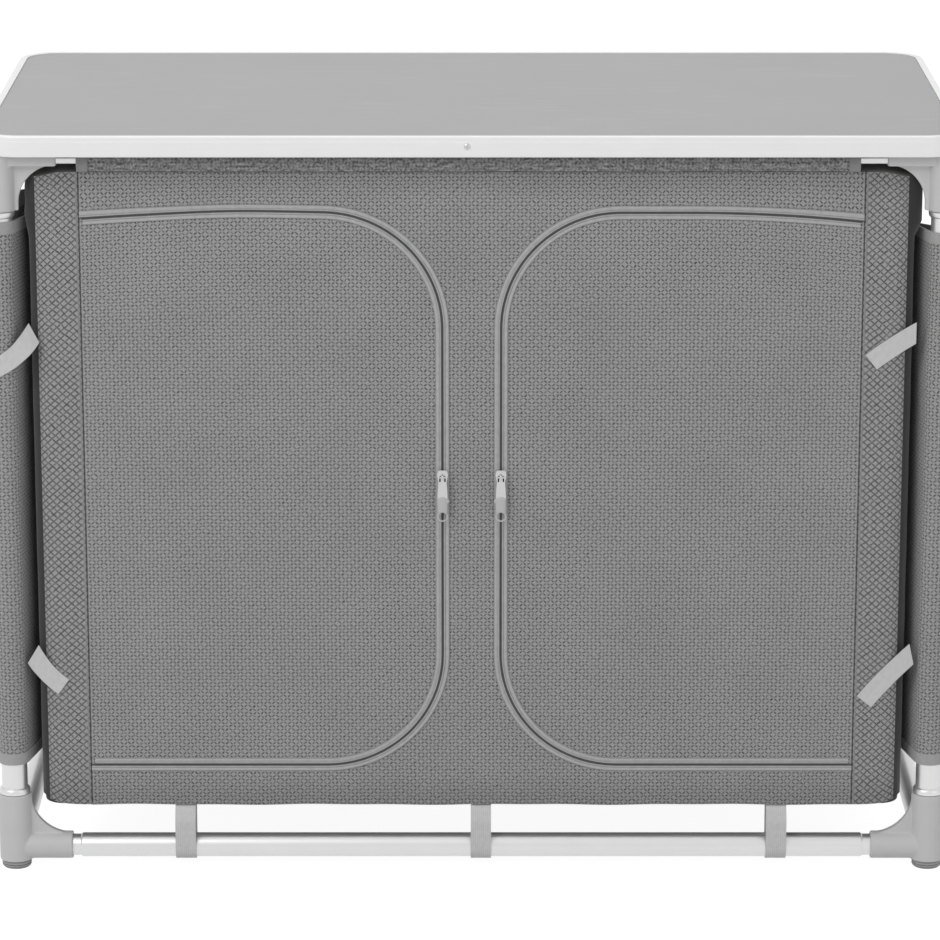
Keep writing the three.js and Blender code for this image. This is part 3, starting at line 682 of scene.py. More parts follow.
def spun(profile, steps=48):
    """A closed profile of (radius, height) turned about the Z axis."""
    bm = bmesh.new()
    verts = [bm.verts.new((radius, 0, height)) for radius, height in profile]
    edges = [bm.edges.new(pair) for pair in zip(verts, verts[1:] + verts[:1])]
    geom = verts + edges
    bmesh.ops.spin(
        bm, geom=geom, cent=(0, 0, 0), axis=(0, 0, 1), angle=FULL, steps=steps, use_merge=True
    )
    bmesh.ops.remove_doubles(bm, verts=bm.verts, dist=1e-6)
    bmesh.ops.recalc_face_normals(bm, faces=bm.faces)
    return bm


def add_rod(bm, radius, height, place, steps):
    """Adds a round bar, whose middle is at the origin before place moves it."""
    bmesh.ops.create_cone(
        bm,
        cap_ends=True,
        segments=steps,
        radius1=radius,
        radius2=radius,
        depth=height,
        matrix=place,
    )


def disc(radius, bottom, top, bore=0.0, steps=64):
    """A round slab, with a bore if one is given."""
    if bore:
        return spun([(radius, bottom), (radius, top), (bore, top), (bore, bottom)], steps)
    bm = bmesh.new()
    add_rod(bm, radius, top - bottom, Matrix.Translation((0, 0, (top + bottom) / 2)), steps)
    return bm


def slab(low, high):
    """A block between two corners."""
    low, high = Vector(low), Vector(high)
    bm = bmesh.new()
    size = Matrix.Diagonal((*(high - low), 1))
    bmesh.ops.create_cube(bm, size=1, matrix=Matrix.Translation((low + high) / 2) @ size)
    return bm


def stacked(rings):
    """A closed body through rings of points, capped at both ends."""
    bm = bmesh.new()
    loops = []
    for ring in rings:
        verts = [bm.verts.new(point) for point in ring]
        loops.append([bm.edges.new(pair) for pair in zip(verts, verts[1:] + verts[:1])])
    for lower, upper in zip(loops, loops[1:]):
        bmesh.ops.bridge_loops(bm, edges=lower + upper)
    bmesh.ops.edgeloop_fill(bm, edges=loops[0])
    bmesh.ops.edgeloop_fill(bm, edges=loops[-1])
    bmesh.ops.recalc_face_normals(bm, faces=bm.faces)
    return bm


def rounded(bm, edges, radius, steps):
    """Rounds edges off, or each one whose faces turn by over a radian."""
    edges = edges or [edge for edge in bm.edges if edge.calc_face_angle(0) > 1]
    bmesh.ops.bevel(
        bm, geom=edges, offset=radius, segments=steps, profile=0.5, affect="EDGES", material=-1
    )
    return bm


def thicken(bm, thickness):
    """Gives a flat piece in X and Z its thickness, towards the back."""
    made = bmesh.ops.extrude_face_region(bm, geom=bm.faces[:], use_keep_orig=True)["geom"]
    verts = [g for g in made if isinstance(g, bmesh.types.BMVert)]
    bmesh.ops.translate(bm, verts=verts, vec=(0, thickness, 0))
    bmesh.ops.recalc_face_normals(bm, faces=bm.faces)
    return bm


def web(inner, outer, level, start, thickness, foot=0.0):
    """A web between a boss and an arm, in X and Z, with a hollow curve between the two."""
    side = math.copysign(1, inner - level)
    root, lap = start - 1.5 * MM, level - side * MM
    start += foot
    radius = abs(outer - start)
    end = inner if foot else level + side * radius
    corners = [(root, lap), (outer, lap), (outer, level), (start, level), (start, end), (root, end)]
    if side < 0:
        corners.reverse()
    # A little less than the whole radius, so that the arc's ends don't meet other corners
    hollow = (radius * 0.999, [corners.index((start, level))])
    bm = thicken(flat_cloth(corners, [hollow], arc=24), thickness)
    return moved(bm, Matrix.Translation((0, -thickness / 2, 0)))


def moved(bm, matrix):
    """Moves a mesh, and turns its faces round again where the move mirrors it."""
    bmesh.ops.transform(bm, matrix=matrix, verts=bm.verts)
    if matrix.determinant() < 0:
        bmesh.ops.reverse_faces(bm, faces=bm.faces)
    return bm


def merged(*parts):
    """Puts several meshes into one."""
    whole = parts[0]
    for part in parts[1:]:
        mesh = bpy.data.meshes.new("part")
        part.to_mesh(mesh)
        part.free()
        whole.from_mesh(mesh)
        bpy.data.meshes.remove(mesh)
    return whole


def moulded(bm, grain=0.9 * MM, rounds=3):
    """Melts overlapping bodies into one moulding with slightly rounded edges."""
    mesh = bpy.data.meshes.new("melt")
    bm.to_mesh(mesh)
    bm.free()
    thing = bpy.data.objects.new("melt", mesh)
    bpy.context.scene.collection.objects.link(thing)
    remesh = thing.modifiers.new("melt", "REMESH")
    remesh.mode, remesh.voxel_size = "VOXEL", grain
    graph = bpy.context.evaluated_depsgraph_get()
    shape = bpy.data.meshes.new_from_object(thing.evaluated_get(graph))
    made = bmesh.new()
    made.from_mesh(shape)
    bpy.data.objects.remove(thing)
    for used in (mesh, shape):
        bpy.data.meshes.remove(used)
    every_way = {"use_axis_x": True, "use_axis_y": True, "use_axis_z": True}
    for _ in range(rounds):
        bmesh.ops.smooth_vert(made, verts=made.verts, factor=0.5, **every_way)
    return made


def make(name, bm, finish, body="frame", nodes=(), thickness=None, offset=-1):
    """Makes an object of a mesh, gives it its finish and thickness, and hooks it to the frame."""
    mesh = bpy.data.meshes.new(name)
    bm.edges.index_update()
    rim = [edge.index for edge in bm.edges if edge.is_boundary]
    bm.to_mesh(mesh)
    bm.free()
    mesh.shade_smooth()
    mesh.set_sharp_from_angle(angle=math.radians(35))
    for index in rim:
        mesh.edges[index].use_edge_sharp = True
    piece = bpy.data.objects.new(name, mesh)
    bpy.context.scene.collection.objects.link(piece)
    mesh.materials.append(material(finish))
    if thickness:
        shell = piece.modifiers.new("thickness", "SOLIDIFY")
        shell.thickness, shell.offset, shell.use_even_offset = thickness, offset, True
    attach(piece, body)
    if nodes:
        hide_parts(*nodes)
    return piece


def at_legs(mirror=False):
    """Each corner's name and the move from the origin to its leg, mirrored outwards if asked."""
    for corner, (sx, sy) in CORNERS.items():
        place = Matrix.Translation((sx * LEG_AXIS.x, sy * LEG_AXIS.y, 0))
        yield corner, place @ mirrored(-sx, -sy) if mirror else place


def make_mouldings(kind, parts):
    """Melts parts into one moulding and sets a copy of it at each leg."""
    shape = moulded(merged(*parts))
    for corner, place in at_legs(mirror=True):
        node = "%s_%s" % (kind, corner)
        bm = moved(shape.copy(), place)
        make("moulding_" + node, bm, "plastic", nodes=[node])
    shape.free()


# The two arms of a moulding: along X, and turned to run along Y
ARMS = Matrix.Identity(4), Matrix.Rotation(QUARTER, 4, "Z") @ mirrored(1, -1)


# Pieces


class KITCHEN_OT_worktop(Operator):
    """Rounded edge trim, and the finishes of the laminate and of the board inside it"""

    bl_idname = "kitchen.worktop"
    bl_label = "Worktop"

    def execute(self, context):
        sizes = context.scene.kitchen_sizes
        height, lip, bevel = TRIM_HIGH.z - TRIM_LOW.z, sizes.trim_lip, 0.3 * MM
        wall, thick = sizes.trim_wall, sizes.trim_thickness
        step, crown, heel = 0.4 * MM, 1.1 * MM, 1.4 * MM
        quarter = [QUARTER * share / 4 for share in range(5)]
        section = [(lip, height - thick), (lip, height - bevel), (lip - bevel, height)]
        section += [
            (step + crown * (1 - math.sin(angle)), height - crown * (1 - math.cos(angle)))
            for angle in quarter
        ]
        section += [(step, height - 5.2 * MM), (0, height - 5.6 * MM)]
        section += [
            (heel * (1 - math.cos(angle)), heel * (1 - math.sin(angle))) for angle in quarter
        ]
        section += [(lip - bevel, 0), (lip, bevel), (lip, thick), (wall, thick)]
        section.append((wall, height - thick))
        points = [(0, TRIM_LOW.y + inset, TRIM_LOW.z + rise) for inset, rise in section]
        band = Band(points, X, (0, TRIM_LOW.y, TRIM_LOW.z), closed=True)
        radius, pitch = sizes.top_corner, 0.1
        half_width, half_depth = TRIM_HIGH.x - radius, TRIM_HIGH.y - radius
        band.go(half_width, pitch)
        for straight in (2 * half_depth, 2 * half_width, 2 * half_depth, half_width):
            band.turn(Z, radius, QUARTER, 16)
            band.go(straight, pitch)
        bmesh.ops.remove_doubles(band.bm, verts=band.bm.verts, dist=1e-5)
        bmesh.ops.recalc_face_normals(band.bm, faces=band.bm.faces)
        make("edge_trim", band.bm, "trim", nodes=["worktop_edge_trim"])
        dome = [(3.6, 0), (3.4, 0.7), (2.6, 1.3), (1.4, 1.6)]
        recess = [(1.1, 1.6), (1, 0.7), (0.02, 0.7), (0.02, 0)]
        head = spun([(out * MM, up * MM) for out, up in dome + recess], 24)
        seat = (-4.7 * MM, TRIM_LOW.y + 0.3 * MM, TRIM_HIGH.z - 10.5 * MM)
        head = moved(head, Matrix.Translation(seat) @ Matrix.Rotation(QUARTER, 4, "X"))
        make("rim_screw", head, "zip_metal")
        dress("worktop_laminate", "laminate")
        dress("worktop_board", "fibreboard")
        return {"FINISHED"}


def bead_profile(level, height, radius, reach):
    """Rounded bead of (radius, height) points, flat at its level and sloping away from it."""
    shares = [(0, 0), (0.82, 0), (1, 0.08), (1, 0.42), (0.82, 0.74), (0.4, 0.93), (0, 1)]
    return [(radius + reach * out, level + height * up) for out, up in shares]


class KITCHEN_OT_legs(Operator):
    """Leg tubes with a bead above the base corner and one below the bracket"""

    bl_idname = "kitchen.legs"
    bl_label = "Legs"

    def execute(self, context):
        sizes = context.scene.kitchen_sizes
        radius, gap = sizes.leg_radius, 0.3 * MM
        reach, bore = LEG_HIGH.x - LEG_AXIS.x - radius, radius - sizes.leg_wall
        low = bead_profile(CORNER_HIGH.z + gap, sizes.bead_height, radius, reach)
        high = bead_profile(BRACKET_LOW.z - gap, -sizes.bead_height, radius, reach)
        profile = [(radius, LEG_LOW.z), *low, *reversed(high), (radius, LEG_HIGH.z)]
        profile += [(bore, LEG_HIGH.z), (bore, LEG_LOW.z)]
        for corner, place in at_legs():
            bm, nodes = moved(spun(profile), place), ["leg_" + corner]
            make("tube_leg_" + corner, bm, "upright_tube", nodes=nodes)
        return {"FINISHED"}


class KITCHEN_OT_base_rails(Operator):
    """Base rails with drawn-in necks at both ends"""

    bl_idname = "kitchen.base_rails"
    bl_label = "Base rails"

    def execute(self, context):
        sizes = context.scene.kitchen_sizes
        radius, shoulder, wall = sizes.neck_radius, 3 * MM, 1.6 * MM
        drop, bore = sizes.rail_radius - radius, radius - wall
        for side, along in {"front": 0, "rear": 0, "left": 1, "right": 1}.items():
            node = "base_rail_" + side
            low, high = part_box(node)
            end = high[along]
            neck_end = end - sizes.plug_depth - sizes.neck_length
            half = [(radius, end), (radius, neck_end)]
            for share in (0.15, 0.4, 0.7, 0.9, 1):
                rise = math.sin(share * QUARTER) ** 2
                half.append((radius + drop * rise, neck_end - shoulder * share))
            profile = half + [(out, -level) for out, level in reversed(half)]
            profile += [(bore, -end), (bore, end)]
            turn = Matrix.Rotation(QUARTER, 4, "X" if along else "Y")
            bm = moved(spun(profile), Matrix.Translation((low + high) / 2) @ turn)
            make("tube_" + node, bm, "level_tube", nodes=[node])
        for end in ENDS:
            dress("top_rail_" + end, "level_tube")
        return {"FINISHED"}


class KITCHEN_OT_brackets(Operator):
    """Moulded brackets under the worktop's corners"""

    bl_idname = "kitchen.brackets"
    bl_label = "Top brackets"

    def execute(self, context):
        sizes = context.scene.kitchen_sizes
        bottom, top = BRACKET_LOW.z, BRACKET_HIGH.z
        arm_bottom, half = top - sizes.arm_height, sizes.arm_width / 2
        radius, reach = sizes.boss_radius, LEG_AXIS.x - BRACKET_LOW.x
        lap, foot = 1 * MM, 4 * MM
        parts = [disc(radius, bottom, arm_bottom + lap, sizes.boss_bore)]
        parts.append(disc(radius, arm_bottom, top))
        for turn in ARMS:
            arm = slab((0, -half, arm_bottom), (reach, half, top))
            far = []
            for edge in arm.edges:
                start, end = (vert.co for vert in edge.verts)
                if start.x > reach / 2 and abs(end.z - start.z) > MM:
                    far.append(edge)
            rib = web(bottom, reach, arm_bottom, radius - lap, sizes.web_thickness, foot)
            parts += [moved(rounded(arm, far, 3 * MM, 4), turn), moved(rib, turn)]
        make_mouldings("top_bracket", parts)
        return {"FINISHED"}


class KITCHEN_OT_base_corners(Operator):
    """Moulded three-way corners with a socket for each rail"""

    bl_idname = "kitchen.base_corners"
    bl_label = "Base corners"

    def execute(self, context):
        sizes = context.scene.kitchen_sizes
        bottom, top, seat = CORNER_LOW.z, CORNER_HIGH.z, sizes.leg_seat
        boss, socket = sizes.boss_radius, sizes.socket_radius
        reach, lap = LEG_AXIS.x - CORNER_LOW.x, 1 * MM
        floor_thickness, socket_start = 9 * MM, 6 * MM
        parts = [disc(boss, seat - floor_thickness, seat)]
        parts.append(disc(boss, seat - lap, top, sizes.boss_bore))
        parts.append(disc(boss, bottom, seat - floor_thickness + lap, sizes.foot_bore))
        plug = reach - sizes.plug_depth
        lie = Matrix.Translation((0, 0, RAIL_LEVEL)) @ Matrix.Rotation(QUARTER, 4, "Y")
        for turn in ARMS:
            parts.append(moved(disc(socket, socket_start, plug), turn @ lie))
            tube = disc(socket, plug - lap, reach, sizes.socket_bore)
            parts.append(moved(tube, turn @ lie))
            crown = RAIL_LEVEL + socket - lap
            parts.append(moved(web(top, reach, crown, boss - lap, sizes.web_thickness), turn))
        make_mouldings("base_corner", parts)
        return {"FINISHED"}


class KITCHEN_OT_feet(Operator):
    """Levelling feet with a toothed grip"""

    bl_idname = "kitchen.feet"
    bl_label = "Levelling feet"

    def execute(self, context):
        teeth, steps = 36, 144
        # Radius, height and depth of the teeth, in millimetres
        full, rest = (FOOT_HIGH.x - LEG_AXIS.x) / MM, CORNER_LOW.z / MM - 0.3
        stud, stud_top = 4, FOOT_HIGH.z / MM
        rows = [(full - 3.4, 0, 0), (full - 2.2, 0.3, 0), (full - 0.7, 1.7, 0)]
        for low, high, depth in ((2.6, 4.2, 0.7), (5.2, 7.6, 0)):
            rows += [(full - 1.5, low - 0.6, 0), (full - 1.5, low - 0.2, 0)]
            rows += [(full - 0.1, low, depth), (full, low + 0.3, depth)]
            rows += [(full, high - 0.3, depth), (full - 0.1, high, depth)]
        rows += [(full - 1.3, 7.9, 0), (full - 1.3, rest, 0)]
        rows += [(stud, rest, 0), (stud, stud_top - 0.6, 0), (stud - 0.6, stud_top, 0)]
        rings = []
        for radius, level, depth in rows:
            ring = []
            for angle in angles(steps):
                out = (radius - depth * (0.5 - 0.5 * math.cos(teeth * angle))) * MM
                ring.append((out * math.cos(angle), out * math.sin(angle), level * MM))
            rings.append(ring)
        shape = stacked(rings)
        for corner, place in at_legs():
            name, nodes = "foot_" + corner, ["levelling_foot_" + corner]
            bm = moved(shape.copy(), place)
            make(name, bm, "rubber", name, nodes)
        shape.free()
        return {"FINISHED"}


def hem_wave(x, height):
    """How far the cupboard's lower edge strays from a straight line, less with the height."""
    wave = 0.4 * MM * math.sin(x * 31) + 0.3 * MM * math.sin(x * 67 + 1)
    return wave * max(0, 1 - height / (40 * MM))


def zip_sag(x, z):
    """How far the cloth and the tapes about the upper zips sink towards the doors' seams."""
    sizes = bpy.context.scene.kitchen_sizes
    drop, arch = (sizes.zip_drop_left, 2 * MM) if x < 0 else (sizes.zip_drop_right, 0)
    start, crest, spread, fall = 230 * MM, 240 * MM, 80 * MM, 160 * MM
    share = max(0, (abs(x) - start) / (SEAM - start))
    rise = arch * math.exp(-(((abs(x) - crest) / spread) ** 2))
    above = (FRONT_HIGH.z - z) / (FRONT_HIGH.z - DOOR_HIGH.z)
    return (rise - drop * share**2) * clamp(above, 1 - (DOOR_HIGH.z - z) / fall)


def panel_relief(x, z):
    """How far the front's cloth lies behind its plane: the centre seam and soft hollows."""
    centre = math.exp(-((x / (1.6 * MM)) ** 2)) * 0.7 * MM
    inside = min(abs(FRONT_HIGH.z - z), abs(z - FRONT_LOW.z))
    return -centre - abs(0.5 * MM * rumple(x, z, 70 * MM, 3.1)) * min(1, inside / (30 * MM))


class KITCHEN_OT_cupboard_front(Operator):
    """Front cloth of the cupboard: bands above and below the doors and a column between them"""

    bl_idname = "kitchen.cupboard_front"
    bl_label = "Cupboard front"

    def execute(self, context):
        sizes = context.scene.kitchen_sizes
        gap, radius, spare = 0.4 * MM, sizes.zip_corner, 20 * MM
        inner, top, bottom = DOOR_LOW.x - gap, DOOR_HIGH.z + gap, DOOR_LOW.z - gap
        high, low = top - radius - spare, bottom + radius + spare
        upper = [(inner, high), (inner, top), (SEAM, top), (SEAM, FRONT_HIGH.z)]
        lower = [(SEAM, FRONT_LOW.z), (SEAM, bottom), (inner, bottom), (inner, low)]
        pieces = {
            "upper": (upper + flip(upper), [(radius, [1, 6])]),
            "lower": (lower + flip(lower), [(radius, [2, 5])]),
            "column": ([(inner, low), (inner, high), (-inner, high), (-inner, low)], ()),
        }
        for name, (corners, rounds) in pieces.items():
            bm = flat_cloth(corners, rounds, sizes.net)
            # A finer net about the centre seam
            for place in (-3, -1.2, 0, 1.2, 3):
                cut(bm, X, place * MM)
            lay_out(bm)
            area = flat_area(bm)
            for vert in bm.verts:
                x, z = vert.co.x, vert.co.z
                stray = hem_wave(x, z - FRONT_LOW.z) + zip_sag(x, z)
                vert.co = (x, FACE - panel_relief(x, z), z + stray)
            name, nodes = "cloth_front_" + name, ["cupboard_front"]
            piece = make(name, bm, "panel_cloth", "frame", nodes, sizes.cloth)
            width, height = (max(v) - min(v) for v in zip(*corners))
        return {"FINISHED"}


def door_hollow(x, z):
    """How far a door's cloth bellies out, none at its edges."""
    inside = min(abs(x) - DOOR_LOW.x, DOOR_HIGH.x - abs(x), z - DOOR_LOW.z, DOOR_HIGH.z - z)
    fade = 1 - math.exp(-max(0, inside - 10 * MM) / (50 * MM))
    slack = 1.2 * rumple(x, z, 160 * MM, 7.7) + 0.5 * rumple(x, z, 50 * MM, 2.3)
    return fade * slack * 1.2 * MM


class KITCHEN_OT_doors(Operator):
    """Door cloths with rounded corners"""

    bl_idname = "kitchen.doors"
    bl_label = "Doors"

    def execute(self, context):
        sizes = context.scene.kitchen_sizes
        for side, sign in SIDES.items():
            corners = outline(DOOR_LOW, DOOR_HIGH)
            if sign < 0:
                corners = flip(corners)
            bm = flat_cloth(corners, [(sizes.zip_corner - 0.2 * MM, [0, 3])], sizes.net)
            area = flat_area(bm)
            for vert in bm.verts:
                x, z = vert.co.x, vert.co.z
                vert.co = (x, FACE - door_hollow(x, z), z + zip_sag(x, z))
            name = "door_" + side
            piece = make("cloth_" + name, bm, "panel_cloth", name, [name], sizes.cloth)
        return {"FINISHED"}


def corner_lift(x, y, z):
    """How far the cloth is pulled up at the lower front corners, and down at the upper corners."""
    share = clamp((abs(x) - SEAM) / (SIDE_HIGH.x - SEAM))
    lift = 9 * MM * share**3 * max(0, 1 - (z - SIDE_LOW.z) / (60 * MM))
    lift *= clamp((-y - 185 * MM) / (45 * MM))
    corner = clamp((abs(x) - 432 * MM) / (22 * MM), (abs(y) - 180 * MM) / (30 * MM))
    return lift - 5.4 * MM * corner * max(0, 1 - (SIDE_HIGH.z - z) / (50 * MM))


def wall_hollow(u, v, run, full):
    """How far a side wall bulges: out over the wraps near its corners, slackly in elsewhere."""
    edge, level = min(u, run - u), v + SIDE_LOW.z
    start, lower, upper = WRAP_HIGH.z - 16 * MM, 16 * MM, 10 * MM
    top = clamp((level - start) / lower, (SIDE_HIGH.z - level) / upper)
    bulge = math.sin(min(1, edge / (30 * MM)) * QUARTER) * clamp((160 * MM - edge) / (80 * MM))
    slack = abs(rumple(u, v, 120 * MM, 5.5)) * 2.2 * MM * clamp(edge / (50 * MM))
    return full * bulge * top - slack * (1 - bulge * top)


class KITCHEN_OT_cupboard_sides(Operator):
    """Side cloths that turn round the corners: a lattice strip at each end of a dark wall"""

    bl_idname = "kitchen.cupboard_sides"
    bl_label = "Cupboard sides"

    def execute(self, context):
        sizes = context.scene.kitchen_sizes
        radius, share, gap = sizes.wall_corner, math.radians(38.7), 0.3 * MM
        straight = ("go", SIDE_HIGH.x - radius - SEAM - gap, 6 * MM)
        depth = SIDE_HIGH.y - SIDE_LOW.y - 2 * radius
        levels = divided(SIDE_LOW.z, SIDE_HIGH.z, sizes.net)
        strip_turn = ("turn", Z, radius, share, 6)
        wall_turn = ("turn", Z, radius, QUARTER - share, 8)
        bulges = {"left": 3.5 * MM, "right": 8 * MM}
        walks = {
            "front": ("strip_cloth", "lattice", (straight, strip_turn)),
            # The wall's dark tone is partly the cloth's own and partly painted shade on the
            # cupboard's sides
            "wall": ("side_cloth", None, (wall_turn, ("go", depth, sizes.net), wall_turn)),
            "rear": ("strip_cloth", "lattice", (strip_turn, straight)),
        }
        for side, sign in SIDES.items():
            place, heading = Vector((SEAM + gap, FACE, 0)), X
            for part, (finish, slot, walk) in walks.items():
                band = Band([(place.x, place.y, z) for z in levels], heading, place)
                for way, *values in walk:
                    getattr(band, way)(*values)
                place, heading, width = band.place, band.heading, band.run
                bm = band.finish()
                bm.normal_update()
                outwards = sum(
                    face.normal.x + face.normal.y * math.copysign(1, face.calc_center_median().y)
                    for face in bm.faces
                )
                if outwards < 0:
                    bmesh.ops.reverse_faces(bm, faces=bm.faces)
                if part == "wall":
                    shift(bm, lambda u, v: wall_hollow(u, v, width, bulges[side]))
                for vert in bm.verts:
                    vert.co.z += corner_lift(*vert.co)
                bm, name = moved(bm, mirrored(sign)), "cloth_side_%s_%s" % (part, side)
                nodes = ["cupboard_side_" + side]
                piece = make(name, bm, finish, "frame", nodes, sizes.cloth)
        return {"FINISHED"}


class KITCHEN_OT_cupboard_back(Operator):
    """Back and top cloths of the cupboard"""

    bl_idname = "kitchen.cupboard_back"
    bl_label = "Cupboard back and top"

    def execute(self, context):
        sizes = context.scene.kitchen_sizes
        low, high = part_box("cupboard_back")
        bm = flat_cloth(outline(low, high), (), sizes.net)
        for vert in bm.verts:
            x, z = vert.co.x, vert.co.z
            inside = min(high.x - abs(x), z - low.z, high.z - z)
            fade = 1 - math.exp(-inside / (50 * MM))
            dip = abs(rumple(x, z, 150 * MM, 9.4)) * 2.2 * MM * fade
            vert.co = (x, high.y - dip, z + hem_wave(x, z - low.z))
        bmesh.ops.reverse_faces(bm, faces=bm.faces)
        nodes = ["cupboard_back"]
        piece = make("cloth_back", bm, "panel_cloth", "frame", nodes, sizes.cloth)
        low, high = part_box("cupboard_top")
        rounds = [(sizes.wall_corner - 2.4 * MM, range(4))]
        bm = flat_cloth(outline(low, high, 0, 1), rounds, 2 * sizes.net)
        area = flat_area(bm)
        bm = moved(bm, Matrix.Translation((0, 0, high.z)) @ Matrix.Rotation(-QUARTER, 4, "X"))
        shift(bm, lambda u, v: -abs(rumple(u, v, 200 * MM, 1.4)) * 1.2 * MM)
        for vert in bm.verts:
            vert.co.z += corner_lift(*vert.co)
        nodes = ["cupboard_top"]
        piece = make("cloth_top", bm, "lining", "frame", nodes, sizes.cloth)
        return {"FINISHED"}


def covered_board(node, corners, rounds, thickness, lay):
    """A thin board under lining cloth, its edges rounded, drawn flat in X and Z and then laid."""
    bm = thicken(flat_cloth(corners, rounds, 60 * MM), thickness)
    unwrap(rounded(bm, None, 1.2 * MM, 3))
    make("board_" + node, moved(bm, lay), "lining", nodes=[node])


class KITCHEN_OT_boards(Operator):
    """Cloth-covered floor, divider and shelves of the cupboard"""

    bl_idname = "kitchen.boards"
    bl_label = "Floor, divider and shelves"

    def execute(self, context):
        radius = context.scene.kitchen_sizes.wall_corner - 2.4 * MM
        # The corners that lie in the cupboard's rounded corners
        picks = {"cupboard_floor": [0, 1, 2, 3]}
        for side, sign in SIDES.items():
            for level in (1, 2):
                picks["shelf_%s_%d" % (side, level)] = [2] if sign > 0 else [3]
        for node, picked in picks.items():
            low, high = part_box(node)
            lay = Matrix.Translation((0, 0, high.z)) @ Matrix.Rotation(-QUARTER, 4, "X")
            corners = outline(low, high, 0, 1)
            covered_board(node, corners, [(radius, picked)], high.z - low.z, lay)
        low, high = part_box("centre_divider")
        lay = Matrix.Translation((high.x, 0, 0)) @ Matrix.Rotation(QUARTER, 4, "Z")
        covered_board("centre_divider", outline(low, high, 1, 2), (), high.x - low.x, lay)
        return {"FINISHED"}


# One side of a zip in millimetres: distance from the slit, and height over the cloth
TAPE_SECTION = [
    *((0.15, 0.05), (0.15, 0.9), (0.35, 1.25), (0.9, 1.35), (1.3, 1.2), (1.5, 1.75)),
    *((2.0, 2.0), (2.8, 1.8), (3.3, 1.25), (3.9, 1.1), (4.4, 1.4), (6.0, 1.35)),
    *((7.1, 1.0), (7.4, 0.7), (7.5, 0.3), (7.5, 0.05)),
]


class KITCHEN_OT_zips(Operator):
    """Zip tapes on the doors and on the front"""

    bl_idname = "kitchen.zips"
    bl_label = "Zips"

    def execute(self, context):
        sizes = context.scene.kitchen_sizes
        radius, slit, pitch = sizes.zip_corner, 0.2 * MM, 10 * MM
        inner, top, bottom = DOOR_LOW.x - slit, DOOR_HIGH.z + slit, DOOR_LOW.z - slit
        for part, way, gap in (("door", -1, sizes.zip_start), ("front", 1, 0.5 * MM)):
            start = Vector((-(SEAM - gap), FACE, top))
            level = -inner - radius - start.x
            for side, sign in SIDES.items():
                points = [
                    (start.x, FACE - rise * MM, top + way * out * MM) for out, rise in TAPE_SECTION
                ]
                band = Band(points, X, start, closed=True)
                for vert, (out, _) in zip(band.bm.verts, TAPE_SECTION):
                    vert[band.flat] = (0, out * MM, 0)
                band.go(level, pitch)
                for straight in (top - bottom - 2 * radius, level):
                    band.turn(Y, radius, QUARTER, 28)
                    band.go(straight, pitch)
                bm = moved(band.finish(capped=True), mirrored(-sign))
                for vert in bm.verts:
                    vert.co.z += zip_sag(vert.co.x, vert.co.z)
                node = "%s_zip_%s" % (part, side)
                body = "door_" + side if part == "door" else "frame"
                make("tape_" + node, bm, "zip_tape", body, [node])
        return {"FINISHED"}


